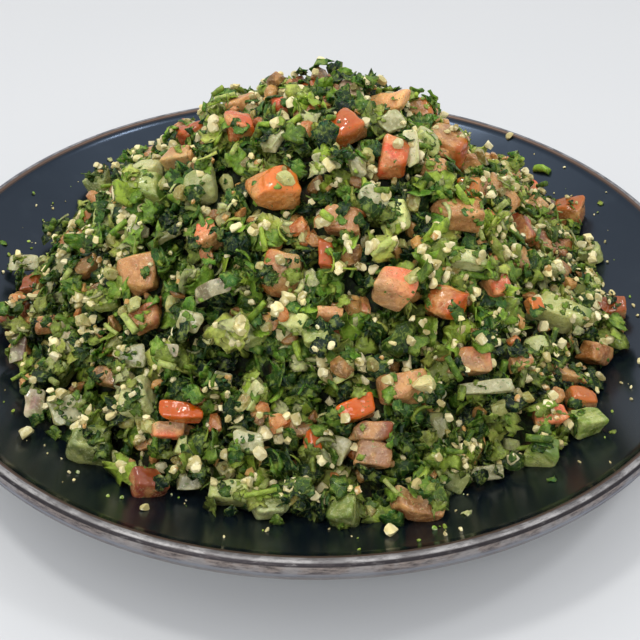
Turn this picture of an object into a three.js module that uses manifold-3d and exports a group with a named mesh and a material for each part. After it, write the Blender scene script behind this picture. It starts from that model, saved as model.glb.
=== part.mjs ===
// Tabbouleh heaped on a round coupe plate.
// Millimetres, +Z up. The origin is the centre of the plate's foot, on the surface it stands on.
// The side of the heap that faces the eater is -Y.

import * as THREE from "three";
import { mergeVertices } from "three/addons/utils/BufferGeometryUtils.js";
import Module from "manifold-3d";

const wasm = await Module();
wasm.setup();

// ---------------------------------------------------------------- driving dimensions

const PLATE = {
  crestRadius: 125, // the rim's highest line
  crestHeight: 28,
  lipRadius: 123.2, // the rim's inner edge, where the bowl of the plate begins
  lipHeight: 27,
  beadRadius: 126.7, // the rim's widest line
  beadHeight: 25.6,
  skirtRadius: 126, // the lower edge of the rim's outer band
  skirtHeight: 23.1,
  floorRadius: 58, // the floor is flat out to here
  floorHeight: 6,
  curve: 2.2, // how late the wall turns up: 1 is a cone, more is a deeper bowl
  wall: 4.6,
  footRadius: 66,
  footWidth: 5,
  recess: 1.5, // how far the underside stands clear inside the foot
  segments: 64,
  wallSteps: 5,
  rimSteps: 3,
};

const HEAP = {
  height: 73, // the core's peak above the plate's floor
  footRadius: 103.5, // the core's mean foot
  dome: 2.2, // how wide the top is: 1 is a point, more is rounder
  skirt: 1.62, // how flat the foot runs out: 1 is steep, more is flatter
  peak: { x: 3.5, y: -5 },
  // Where the foot reaches out or draws in, by bearing in degrees, with its half width.
  lobes: [
    { bearing: -117, reach: 5, width: 7 },
    { bearing: -109, reach: -6, width: 5 },
    { bearing: -97, reach: 4, width: 7 },
    { bearing: -77, reach: 8, width: 8 },
    { bearing: -65, reach: -10, width: 5 },
    { bearing: -52, reach: 4, width: 12 },
    { bearing: -32, reach: -2, width: 7 },
    { bearing: 3, reach: -3, width: 9 },
    { bearing: 19, reach: 4, width: 9 },
    { bearing: 60, reach: -2, width: 12 },
    { bearing: 112, reach: 3, width: 14 },
    { bearing: 171, reach: -4, width: 9 },
  ],
  // Where a shoulder stands higher or lower than the rest.
  humps: [
    { x: -62, y: -12, rise: 5 },
    { x: 74, y: 2, rise: -4.2 },
  ],
  humpReach: 28,
  swell: 1.3, // the height of the core's own lumps
  swellLength: 34, // and their length
  spokes: 48,
  rings: 8,
  clearance: 0.4, // between the heap and the plate
};

// Pieces that show, the largest first. size is [length, width, thickness] before each piece's own
// change of size. sunk is the share of the thickness below the core's surface, tilt the steepest lean.
const PIECES = [
  { kind: "tomato", count: 56, size: [12.4, 11, 9.5], vary: 0.2, sunk: 0.28, tilt: 38 },
  { kind: "cucumber", count: 28, size: [12, 9.6, 8], vary: 0.22, sunk: 0.3, tilt: 40 },
  { kind: "onion", count: 18, size: [11, 8, 2.6], vary: 0.25, sunk: -0.1, tilt: 48 },
  { kind: "leaf", count: 42, size: [15, 11, 1.1], vary: 0.25, sunk: -0.9, tilt: 48 },
  { kind: "stem", count: 10, size: [11, 2.4, 2.4], vary: 0.3, sunk: -0.1, tilt: 40 },
  { kind: "bulgur", count: 50, size: [5.2, 4, 3.4], vary: 0.2, sunk: 0.05, tilt: 60 },
];

// How far a corner may lie from its true place, as a share of the piece's width or thickness.
const SKEW = { dice: 0.13, chip: 0.05, grain: 0.08 };

const CHIP_BEND = 0.9; // the sag of an onion chip's ends, over its length
const STEM_SIDES = 6;
const LEAF = {
  points: 8, // tips and notches round the outline
  tip: [0.9, 1.1], // how far out they lie, as a share of half the leaf
  notch: [0.68, 0.85],
  wave: 0.16, // the height of the leaf's fold, as a share of its length
  ruffle: 0.05, // and of each point's own rise or fall
};

// Single pieces that lie apart on the plate, by bearing in degrees and radius.
const STRAYS = [
  { kind: "stem", bearing: 36, radius: 116, size: [7, 3.4, 3.4], turn: 70 },
  { kind: "bulgur", bearing: -132, radius: 112.5, size: [5.4, 4, 3.4], turn: 20 },
];
const STRAY_PRESSED = 0.3; // how deep a stray is pressed into the plate
const STRAY_ROOM = 1.5; // how far the heap's pieces keep off it, in its own lengths

const DRAWS = 24; // places tried for each piece
const SEED = 2027;
const DEGREE = Math.PI / 180;
const UP = new THREE.Vector3(0, 0, 1);

// ---------------------------------------------------------------- random draws

/** A small seeded generator: the same numbers from 0 to 1 on every run. */
function seededRandom(seed) {
  let state = seed >>> 0;
  return () => {
    state = (state + 0x6d2b79f5) >>> 0;
    let t = Math.imul(state ^ (state >>> 15), 1 | state);
    t = (t + Math.imul(t ^ (t >>> 7), 61 | t)) ^ t;
    return ((t ^ (t >>> 14)) >>> 0) / 4294967296;
  };
}

const random = seededRandom(SEED);
const between = (low, high) => low + (high - low) * random();

// ---------------------------------------------------------------- meshes and solids

/** A geometry with nothing but position, its shared vertices merged. */
function mergedGeometry(geometry) {
  const bare = geometry.clone();
  bare.deleteAttribute("normal");
  bare.deleteAttribute("uv");
  return mergeVertices(bare, 1e-4);
}

/** A closed three.js geometry as a manifold solid. */
function solidOf(geometry) {
  const merged = mergedGeometry(geometry);
  return new wasm.Manifold(
    new wasm.Mesh({
      numProp: 3,
      vertProperties: new Float32Array(merged.attributes.position.array),
      triVerts: new Uint32Array(merged.index.array),
    }),
  );
}

/** A manifold solid as a named three.js mesh. */
function meshOf(solid, name, material) {
  const made = solid.getMesh();
  const positions = new Float32Array(made.numVert * 3);
  for (let i = 0; i < made.numVert; i++) {
    positions.set(made.vertProperties.subarray(i * made.numProp, i * made.numProp + 3), i * 3);
  }
  const geometry = new THREE.BufferGeometry();
  geometry.setAttribute("position", new THREE.BufferAttribute(positions, 3));
  geometry.setIndex(new THREE.BufferAttribute(new Uint32Array(made.triVerts), 1));
  geometry.computeVertexNormals();
  const mesh = new THREE.Mesh(geometry, material);
  mesh.name = name;
  return mesh;
}

/** The largest body of a solid: loose scraps and sealed hollows are separate bodies and drop out. */
function mainBody(solid) {
  const bodies = solid.decompose();
  return bodies.reduce((best, body) => (body.volume() > best.volume() ? body : best));
}

/**
 * A closed skin over loops of points: a fan from the first point to the first loop, bands from loop
 * to loop, and a fan from the last loop to the last point.
 */
function skinGeometry(first, loops, last) {
  const points = [first, ...loops.flat(), last];
  const count = loops[0].length;
  const at = (row, i) => 1 + row * count + (i % count);
  const end = loops.length - 1;
  const index = [];
  for (let i = 0; i < count; i++) {
    index.push(0, at(0, i), at(0, i + 1));
    for (let row = 0; row < end; row++) {
      index.push(at(row, i), at(row + 1, i), at(row + 1, i + 1));
      index.push(at(row, i), at(row + 1, i + 1), at(row, i + 1));
    }
    index.push(points.length - 1, at(end, i + 1), at(end, i));
  }
  const geometry = new THREE.BufferGeometry().setFromPoints(points);
  geometry.setIndex(index);
  return geometry;
}

// ---------------------------------------------------------------- the plate

/** Height of the plate's upper surface at a radius. */
function insideHeight(radius) {
  const { floorRadius, lipRadius, floorHeight, lipHeight, curve } = PLATE;
  const along = THREE.MathUtils.clamp((radius - floorRadius) / (lipRadius - floorRadius), 0, 1);
  return floorHeight + (lipHeight - floorHeight) * along ** curve;
}

/** Rise of the plate's upper surface for each millimetre outwards. */
function insideSlope(radius) {
  const step = 0.5;
  return (insideHeight(radius + step) - insideHeight(radius - step)) / (2 * step);
}

/** Height of the plate's underside at a radius, a wall's thickness below the upper surface. */
function undersideHeight(radius) {
  return insideHeight(radius) - PLATE.wall * Math.hypot(1, insideSlope(radius));
}

/** Radii from the floor's edge to just short of the end, closer together near the end. */
function wallRadii(end) {
  return Array.from({ length: PLATE.wallSteps }, (_, step) =>
    THREE.MathUtils.lerp(PLATE.floorRadius, end, Math.sqrt(step / PLATE.wallSteps)),
  );
}

/** A stretch of an ellipse as [radius, height] pairs, without its last point. */
function roundedEdge([radius, height], [reach, rise], from, to) {
  return Array.from({ length: PLATE.rimSteps }, (_, step) => {
    const angle = THREE.MathUtils.lerp(from, to, step / PLATE.rimSteps);
    return [radius + reach * Math.cos(angle), height + rise * Math.sin(angle)];
  });
}

/** A solid of revolution about Z from [radius, height] pairs, listed anticlockwise round the section. */
function turned(profile) {
  const points = profile.map(([radius, height]) => new THREE.Vector2(radius, height));
  const geometry = new THREE.LatheGeometry(points, PLATE.segments);
  geometry.rotateX(Math.PI / 2);
  return solidOf(geometry);
}

function makePlate() {
  const { footRadius, footWidth, recess, floorHeight, skirtRadius, skirtHeight } = PLATE;
  const { beadRadius, beadHeight, crestRadius, crestHeight, lipRadius, lipHeight } = PLATE;
  const foot = [
    [0, recess],
    [footRadius - footWidth - recess, recess],
    [footRadius - footWidth, 0],
    [footRadius, 0],
  ];
  const outside = [footRadius + recess, ...wallRadii(skirtRadius).slice(1)]
    .map((radius) => [radius, undersideHeight(radius)])
    .filter(([, height]) => height < skirtHeight);
  const quarter = Math.PI / 2;
  const bead = [beadRadius - crestRadius, crestHeight - beadHeight];
  const lip = [crestRadius - lipRadius, crestHeight - lipHeight];
  const inside = wallRadii(lipRadius)
    .reverse()
    .map((radius) => [radius, insideHeight(radius)]);
  return turned([
    ...foot,
    ...outside,
    [skirtRadius, skirtHeight],
    ...roundedEdge([crestRadius, beadHeight], bead, 0, quarter),
    ...roundedEdge([crestRadius, lipHeight], lip, quarter, 2 * quarter),
    [lipRadius, lipHeight],
    ...inside,
    [0, floorHeight],
  ]);
}

/** Everything below the heap's underside: the plate's upper surface raised by the clearance. */
function makeBed() {
  const depth = -PLATE.crestHeight;
  const top = [PLATE.lipRadius, ...wallRadii(PLATE.lipRadius).reverse(), 0];
  return turned([
    [0, depth],
    [PLATE.lipRadius, depth],
    ...top.map((radius) => [radius, insideHeight(radius) + HEAP.clearance]),
  ]);
}

// ---------------------------------------------------------------- the heap's core

/** A bump that is 1 at its middle and falls to almost nothing twice its reach away. */
const bump = (distance, reach) => Math.exp(-((distance / reach) ** 2));

/** The core's foot at a bearing, in radians. */
function footRadius(bearing) {
  return HEAP.lobes.reduce((radius, lobe) => {
    const turn = THREE.MathUtils.euclideanModulo(bearing / DEGREE - lobe.bearing + 180, 360) - 180;
    return radius + lobe.reach * bump(turn, lobe.width);
  }, HEAP.footRadius);
}

/** The core's own low lumps, and its shoulders. */
function relief(x, y) {
  const wave = (2 * Math.PI) / HEAP.swellLength;
  const swell =
    Math.sin(wave * x + 1.3) * Math.cos(wave * y - 0.4) +
    0.6 * Math.sin(1.7 * wave * (x + 0.6 * y));
  return HEAP.humps.reduce(
    (height, hump) => height + hump.rise * bump(Math.hypot(x - hump.x, y - hump.y), HEAP.humpReach),
    HEAP.swell * swell,
  );
}

/** A point on the core's surface. share is 0 at the peak and 1 at the foot. */
function moundPoint(share, bearing) {
  const foot = footRadius(bearing);
  const lean = 1 - share * share;
  const x = share * foot * Math.cos(bearing) + HEAP.peak.x * lean;
  const y = share * foot * Math.sin(bearing) + HEAP.peak.y * lean;
  const base = THREE.MathUtils.lerp(PLATE.floorHeight, insideHeight(foot), share ** 4);
  const profile = Math.max(1 - share ** HEAP.dome, 0) ** HEAP.skirt;
  const z = base + HEAP.height * profile + relief(x, y) * (1 - share ** 6);
  return new THREE.Vector3(x, y, z);
}

/** The direction that faces out of the core at a place on it. */
function moundNormal(share, bearing) {
  const step = 0.02;
  const down = moundPoint(share + step, bearing).sub(moundPoint(Math.max(share - step, step), bearing));
  const round = moundPoint(share, bearing + step).sub(moundPoint(share, bearing - step));
  return down.cross(round).normalize();
}

/** The mound without its pieces. It reaches down through the plate, for the bed to cut. */
function makeCore() {
  const loop = (share) =>
    Array.from({ length: HEAP.spokes }, (_, spoke) =>
      moundPoint(share, (2 * Math.PI * spoke) / HEAP.spokes),
    );
  const rings = Array.from({ length: HEAP.rings }, (_, ring) => loop((ring + 1) / HEAP.rings));
  const sunkRing = loop(1).map((point) => point.setZ(0));
  return solidOf(skinGeometry(moundPoint(0, 0), [...rings, sunkRing], new THREE.Vector3()));
}

// ---------------------------------------------------------------- one piece of each kind

/** Moves each vertex by its own small draw, as a knife cuts nothing square. */
function skewed(geometry, amount) {
  const merged = mergedGeometry(geometry);
  const position = merged.attributes.position;
  const moved = (value) => value + between(-amount, amount);
  for (let i = 0; i < position.count; i++) {
    position.setXYZ(
      i,
      moved(position.getX(i)),
      moved(position.getY(i)),
      moved(position.getZ(i)),
    );
  }
  return merged;
}

function diceGeometry([length, width, thickness]) {
  return skewed(new THREE.BoxGeometry(length, width, thickness), SKEW.dice * width);
}

/** A chip of an onion's layer: a bent plate. */
function chipGeometry([length, width, thickness]) {
  const geometry = new THREE.BoxGeometry(length, width, thickness, 2, 1, 1);
  const position = geometry.attributes.position;
  for (let i = 0; i < position.count; i++) {
    const across = position.getX(i) / length;
    position.setZ(i, position.getZ(i) - CHIP_BEND * length * across * across);
  }
  return skewed(geometry, SKEW.chip * width);
}

/** A torn leaf: a thin wavy solid with a notched outline, its two faces split alike. */
function leafGeometry([length, width, thickness]) {
  const outline = Array.from({ length: LEAF.points }, (_, i) => {
    const angle = (2 * Math.PI * i) / LEAF.points;
    const reach = between(...(i % 2 ? LEAF.notch : LEAF.tip)) / 2;
    const rise = LEAF.wave * Math.cos(2 * angle) + between(-LEAF.ruffle, LEAF.ruffle);
    return new THREE.Vector3(
      reach * length * Math.cos(angle),
      reach * width * Math.sin(angle),
      rise * length,
    );
  });
  const half = UP.clone().multiplyScalar(thickness / 2);
  const upper = outline.map((point) => point.clone().add(half));
  const lower = outline.map((point) => point.clone().sub(half));
  return skinGeometry(half, [upper, lower], half.clone().negate());
}

function stemGeometry([length, width, thickness]) {
  const geometry = new THREE.CylinderGeometry(0.5, 0.5, length, STEM_SIDES);
  return geometry.rotateZ(Math.PI / 2).scale(1, width, thickness);
}

function grainGeometry([length, width, thickness]) {
  const geometry = new THREE.IcosahedronGeometry(0.5, 0).scale(length, width, thickness);
  return skewed(geometry, SKEW.grain * thickness);
}

const SHAPES = {
  tomato: diceGeometry,
  cucumber: diceGeometry,
  onion: chipGeometry,
  leaf: leafGeometry,
  stem: stemGeometry,
  bulgur: grainGeometry,
};

// ---------------------------------------------------------------- spreading the pieces

/** Distance from a point to the nearest piece that has its place. */
function roomAround(point, taken) {
  const gaps = taken.map((other) => point.distanceTo(other.point) - other.reach);
  return Math.min(...gaps);
}

/** Even places for one kind: of several draws, each piece takes the one furthest from the rest. */
function spreadPlaces(kind, taken) {
  const places = [];
  for (let piece = 0; piece < kind.count; piece++) {
    let best = { room: -Infinity };
    for (let draw = 0; draw < DRAWS; draw++) {
      const share = Math.sqrt(random());
      const bearing = between(-Math.PI, Math.PI);
      const point = moundPoint(share, bearing);
      const room = roomAround(point, taken);
      if (room > best.room) best = { share, bearing, point, room };
    }
    taken.push({ point: best.point, reach: kind.size[0] / 2 });
    places.push(best);
  }
  return places;
}

/** A piece's solid, turned and sunk at its place on the core. */
function placedPiece(kind, place) {
  const scale = 1 + between(-kind.vary, kind.vary);
  const size = kind.size.map((side) => side * scale);
  const normal = moundNormal(place.share, place.bearing);
  const lift = (0.5 - kind.sunk) * size[2];
  const spin = new THREE.Quaternion().setFromAxisAngle(UP, between(-Math.PI, Math.PI));
  const leanAxis = new THREE.Vector3(1, 0, 0).applyAxisAngle(UP, between(-Math.PI, Math.PI));
  const lean = new THREE.Quaternion().setFromAxisAngle(leanAxis, random() * kind.tilt * DEGREE);
  const stand = new THREE.Quaternion().setFromUnitVectors(UP, normal);
  const matrix = new THREE.Matrix4().compose(
    place.point.clone().addScaledVector(normal, lift),
    stand.multiply(lean).multiply(spin),
    new THREE.Vector3(1, 1, 1),
  );
  return solidOf(SHAPES[kind.kind](size).applyMatrix4(matrix));
}

/** The middle of a piece that lies apart, on the plate's upper surface. */
function strayPoint({ bearing, radius }) {
  return new THREE.Vector3(radius, 0, insideHeight(radius)).applyAxisAngle(UP, bearing * DEGREE);
}

/** A piece that lies apart, pressed a little into the plate that it lies on. */
function strayPiece({ kind, bearing, radius, size, turn }) {
  const geometry = SHAPES[kind](size);
  geometry.rotateZ(turn * DEGREE);
  geometry.rotateY(-Math.atan(insideSlope(radius)));
  geometry.translate(radius, 0, insideHeight(radius) + size[2] / 2 - STRAY_PRESSED);
  geometry.rotateZ(bearing * DEGREE);
  return solidOf(geometry);
}

function makeHeap() {
  const taken = STRAYS.map((stray) => ({
    point: strayPoint(stray),
    reach: STRAY_ROOM * stray.size[0],
  }));
  let heap = makeCore();
  for (const kind of PIECES) {
    for (const place of spreadPlaces(kind, taken)) {
      heap = heap.add(placedPiece(kind, place));
    }
  }
  return mainBody(heap.subtract(makeBed()));
}

// ---------------------------------------------------------------- the object

const glaze = new THREE.MeshStandardMaterial({ color: 0x14181b, roughness: 0.3, metalness: 0.1 });
const herbs = new THREE.MeshStandardMaterial({ color: 0x4c6a24, roughness: 0.45, metalness: 0 });

const plate = STRAYS.reduce((solid, stray) => solid.add(strayPiece(stray)), makePlate());

const dish = new THREE.Group();
dish.add(meshOf(plate, "plate", glaze));
dish.add(meshOf(makeHeap(), "salad", herbs));

export default dish;
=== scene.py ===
"""The looks of a tabbouleh heaped on a black coupe plate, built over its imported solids."""

import sys
import logging
import math
from dataclasses import dataclass, field
from enum import Enum
from typing import Any, Callable, Optional, Union

import bpy
import numpy as np
from mathutils import Matrix, Vector
from mathutils.bvhtree import BVHTree


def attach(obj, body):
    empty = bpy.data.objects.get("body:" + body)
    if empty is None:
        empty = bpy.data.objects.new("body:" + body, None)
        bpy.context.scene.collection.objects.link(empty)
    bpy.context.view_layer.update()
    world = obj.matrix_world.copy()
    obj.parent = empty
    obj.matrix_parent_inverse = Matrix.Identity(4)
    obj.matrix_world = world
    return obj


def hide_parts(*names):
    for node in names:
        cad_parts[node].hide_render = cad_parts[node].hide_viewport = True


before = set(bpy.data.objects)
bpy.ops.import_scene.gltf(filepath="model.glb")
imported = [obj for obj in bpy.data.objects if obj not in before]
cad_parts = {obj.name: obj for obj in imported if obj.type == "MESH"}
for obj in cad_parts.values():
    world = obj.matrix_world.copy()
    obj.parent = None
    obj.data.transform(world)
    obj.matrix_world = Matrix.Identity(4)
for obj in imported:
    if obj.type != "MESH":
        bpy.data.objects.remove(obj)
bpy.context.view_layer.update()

log = logging.getLogger("tabbouleh")

MM = 0.001  # sizes here are millimetres, and Blender's are metres
PICTURE = 640  # the side of the square picture, in pixels
BODY = "root"
MAP_NAME = "OFBake"
LAMP_AIM = (0, 0, 0.03)  # the heap's middle, which the lamps face

Array = np.ndarray
Random = np.random.Generator
Colour = tuple[float, float, float]
Palette = tuple[Colour, ...]
Pair = tuple[float, float]
Triple = tuple[float, float, float]


# ------------------------------------------------------------------ numbers and directions


def unit(vectors: Array) -> Array:
    """Vectors along the last axis, each of length one."""
    return vectors / np.maximum(np.linalg.norm(vectors, axis=-1, keepdims=True), 1e-9)


def smooth_step(value: Array, low: float, high: float) -> Array:
    """0 below low, 1 above high, and an even curve between them."""
    share = np.clip((value - low) / (high - low), 0, 1)
    return share * share * (3 - 2 * share)


def srgb(red: float, green: float, blue: float) -> Colour:
    """A colour given as 0 to 255 on a screen, as light.

    Args:
        red: The red part.
        green: The green part.
        blue: The blue part.

    Returns:
        The three parts as amounts of light from 0 to 1.
    """
    parts = np.array([red, green, blue]) / 255
    light = np.where(parts <= 0.04045, parts / 12.92, ((parts + 0.055) / 1.055) ** 2.4)
    return tuple(float(part) for part in light)


def full_turn(count: int, start: float = 0.0) -> Array:
    """Even steps round a circle, in radians."""
    return np.linspace(start, start + 2 * np.pi, count, endpoint=False)


def turned_frames(normals: Array, rng: Random) -> Array:
    """Axes for pieces that stand on normals, each with a turn of its own.

    Args:
        normals: (n, 3) directions that the pieces' own Z takes.
        rng: The generator.

    Returns:
        (n, 3, 3) matrices whose columns are the pieces' X, Y and Z.
    """
    spins = rng.uniform(0, 2 * np.pi, len(normals))
    z = unit(normals)
    side = np.where(np.abs(z[:, 2:]) > 0.9, [[1.0, 0, 0]], [[0, 0, 1.0]])
    x = unit(np.cross(side, z))
    y = np.cross(z, x)
    cos, sin = np.cos(spins)[:, None], np.sin(spins)[:, None]
    return np.stack([cos * x + sin * y, cos * y - sin * x, z], axis=-1)


def set_down(points: Array, frames: Array, middles: Array) -> Array:
    """The (n, m, 3) points of pieces, turned to their axes and moved to their places."""
    return np.einsum("nij,nmj->nmi", frames, points) + middles[:, None, :]


def planed(form: Array, rng: Random, cuts: int, low: float, high: float) -> Array:
    """Unit pieces with flat sides cut by planes of random directions.

    Args:
        form: (n, m, 3) points.
        rng: The generator.
        cuts: How many planes cut each piece.
        low: The least distance of a plane from the middle.
        high: The greatest.

    Returns:
        (n, m, 3) points.
    """
    for _ in range(cuts):
        way = unit(rng.normal(size=(len(form), 3)))
        depth = rng.uniform(low, high, (len(form), 1))
        over = np.maximum(np.einsum("nmi,ni->nm", form, way) - depth, 0)
        form = form - over[..., None] * way[:, None, :]
    return form


@dataclass(frozen=True)
class Ripples:
    """Smooth uneven relief: plane waves of seeded directions and lengths."""

    seed: int
    shortest: float
    longest: float
    count: int = 26

    def at(self, points: Array) -> Array:
        """The relief at points, about one high and one deep.

        Args:
            points: (..., 3) places.

        Returns:
            (...,) heights.
        """
        rng = np.random.default_rng(self.seed)
        directions = unit(rng.normal(size=(self.count, 3)))
        waves = 2 * np.pi / rng.uniform(self.shortest, self.longest, self.count)
        phases = rng.uniform(0, 2 * np.pi, self.count)
        heights = np.sin(points @ (directions * waves[:, None]).T + phases).sum(axis=-1)
        return heights / math.sqrt(self.count / 2)


# ------------------------------------------------------------------ meshes


def mesh_object(
    name: str,
    points: Array,
    triangles: Array,
    places: Optional[Array] = None,
    channels: Optional[dict[str, Array]] = None,
    smooth: bool = True,
) -> bpy.types.Object:
    """An object of triangles.

    Args:
        name: The object's name.
        points: (v, 3) places in millimetres.
        triangles: (t, 3) numbers of points.
        places: (t, 3, 2) places of the corners on the flat map, if it has one.
        channels: Values of the points by name: (v,) numbers or (v, 3) colours.
        smooth: Whether it is shaded smooth, and not flat.

    Returns:
        The new object, linked to the scene.
    """
    mesh = bpy.data.meshes.new(name)
    mesh.vertices.add(len(points))
    mesh.vertices.foreach_set("co", np.ascontiguousarray(points * MM, np.float32).ravel())
    mesh.loops.add(triangles.size)
    mesh.loops.foreach_set("vertex_index", np.ascontiguousarray(triangles, np.int32).ravel())
    mesh.polygons.add(len(triangles))
    mesh.polygons.foreach_set("loop_start", np.arange(0, triangles.size, 3, dtype=np.int32))
    mesh.polygons.foreach_set("use_smooth", np.full(len(triangles), smooth))
    if places is not None:
        layer = mesh.uv_layers.new(name=MAP_NAME)
        layer.data.foreach_set("uv", np.ascontiguousarray(places, np.float32).ravel())
    for channel, values in (channels or {}).items():
        if values.ndim == 1:
            made = mesh.attributes.new(channel, "FLOAT", "POINT")
            made.data.foreach_set("value", np.ascontiguousarray(values, np.float32))
        else:
            made = mesh.attributes.new(channel, "FLOAT_COLOR", "POINT")
            full = np.ones((len(values), 4), np.float32)
            full[:, :3] = values
            made.data.foreach_set("color", full.ravel())
    mesh.update(calc_edges=True)
    made_object = bpy.data.objects.new(name, mesh)
    bpy.context.scene.collection.objects.link(made_object)
    return made_object


def fan_and_bands(rows: int, around: int, closed: tuple[bool, bool]) -> Array:
    """Triangles of a skin over rings of points.

    Args:
        rows: How many rings there are.
        around: How many points each ring has.
        closed: Whether a point before the first ring and one after the last close it.

    Returns:
        (t, 3) numbers of points. The point before the rings is the first, if there is one.
    """
    first = 1 if closed[0] else 0
    i = np.arange(around)
    j = (i + 1) % around
    made = []
    if closed[0]:
        made.append(np.stack([np.zeros_like(i), first + i, first + j], axis=1))
    for row in range(rows - 1):
        here, there = first + row * around, first + (row + 1) * around
        made.append(np.stack([here + i, there + i, there + j], axis=1))
        made.append(np.stack([here + i, there + j, here + j], axis=1))
    if closed[1]:
        last, end = first + (rows - 1) * around, first + rows * around
        made.append(np.stack([np.full_like(i, end), last + j, last + i], axis=1))
    return np.concatenate(made)


@dataclass
class Shape:
    """The triangles that all pieces of a kind share, and their places on one cell of the flat map."""

    triangles: Array
    places: Array
    smooth: bool = True

    def map_of(self, count: int) -> Array:
        """The flat map of many pieces, each in a cell of its own.

        Args:
            count: How many pieces there are.

        Returns:
            (count * t, 3, 2) places.
        """
        side = math.ceil(math.sqrt(count))
        cell = np.arange(count)
        corner = np.stack([cell % side, cell // side], axis=1)[:, None, None, :]
        inner = 0.04 + 0.92 * self.places[None]
        return ((corner + inner) / side).reshape(-1, 3, 2)


@dataclass
class Lot:
    """Pieces of one kind that are gathered into one joined mesh."""

    name: str
    shape: Shape
    bodies: list[Array] = field(default_factory=list)
    tints: list[Array] = field(default_factory=list)
    skins: list[Array] = field(default_factory=list)

    def add(self, points: Array, tints: Array, skins: Optional[Array] = None) -> None:
        """Adds pieces.

        Args:
            points: (n, m, 3) points.
            tints: (n, 3) colours of the pieces, or (n, m, 3) of their points.
            skins: (n, m) where they are skin, from 0 to 1.
        """
        self.bodies.append(points)
        self.tints.append(np.broadcast_to(tints if tints.ndim == 3 else tints[:, None, :], points.shape))
        self.skins.append(np.zeros(points.shape[:2]) if skins is None else skins)

    def joined(self) -> tuple[Array, Array]:
        """The points and triangles of all pieces.

        Returns:
            (v, 3) points and (t, 3) triangles.
        """
        bodies = np.concatenate(self.bodies)
        count, each = bodies.shape[:2]
        starts = (np.arange(count) * each)[:, None, None]
        return bodies.reshape(-1, 3), (self.shape.triangles[None] + starts).reshape(-1, 3)

    def build(self, material: bpy.types.Material, node: str) -> None:
        """Makes the mesh, dresses it and lets it stand for its solid.

        Args:
            material: The finish.
            node: The solid that it stands for.
        """
        points, triangles = self.joined()
        count = len(points) // self.bodies[0].shape[1]
        channels = {
            "tint": np.concatenate(self.tints).reshape(-1, 3),
            "skin": np.concatenate(self.skins).reshape(-1),
        }
        places = self.shape.map_of(count)
        made = mesh_object(self.name, points, triangles, places, channels, self.shape.smooth)
        log.info("%s: %d pieces, %d triangles", self.name, count, len(triangles))
        dress(made, material, node)


def dress(made: bpy.types.Object, material: bpy.types.Material, node: str) -> None:
    """Gives a piece its finish, its body and the solid that it stands for.

    Args:
        made: The piece.
        material: Its finish.
        node: The solid's name, which is its slot's name too.
    """
    made.data.materials.append(material)
    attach(made, BODY)
    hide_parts(node)


# ------------------------------------------------------------------ finishes

Plug = Union["Link", float, tuple]


def math_method(operation: str, swapped: bool = False) -> Callable[["Link", Plug], "Link"]:
    """An operator of a link, which adds one Math node.

    Args:
        operation: What the node does.
        swapped: Whether the link is the second of the two values.

    Returns:
        The method.
    """

    def method(link: "Link", other: Plug) -> "Link":
        """Adds the node."""
        first, second = (other, link) if swapped else (link, other)
        return link.paint.node("ShaderNodeMath", {"operation": operation}, {0: first, 1: second})

    return method


class Link:
    """A socket in a finish. Arithmetic on it adds the Math nodes."""

    def __init__(self, paint: "Paint", socket: bpy.types.NodeSocket) -> None:
        """Keeps the finish and the socket."""
        self.paint = paint
        self.socket = socket

    __add__, __radd__ = math_method("ADD"), math_method("ADD", True)
    __sub__, __rsub__ = math_method("SUBTRACT"), math_method("SUBTRACT", True)
    __mul__, __rmul__ = math_method("MULTIPLY"), math_method("MULTIPLY", True)
    __truediv__, __rtruediv__ = math_method("DIVIDE"), math_method("DIVIDE", True)
    __pow__ = math_method("POWER")

    def step(self, low: float, high: float) -> "Link":
        """0 below low, 1 above high, smooth between them."""
        plugs = {"Value": self, "From Min": low, "From Max": high}
        return self.paint.node("ShaderNodeMapRange", {"interpolation_type": "SMOOTHSTEP"}, plugs)


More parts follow.
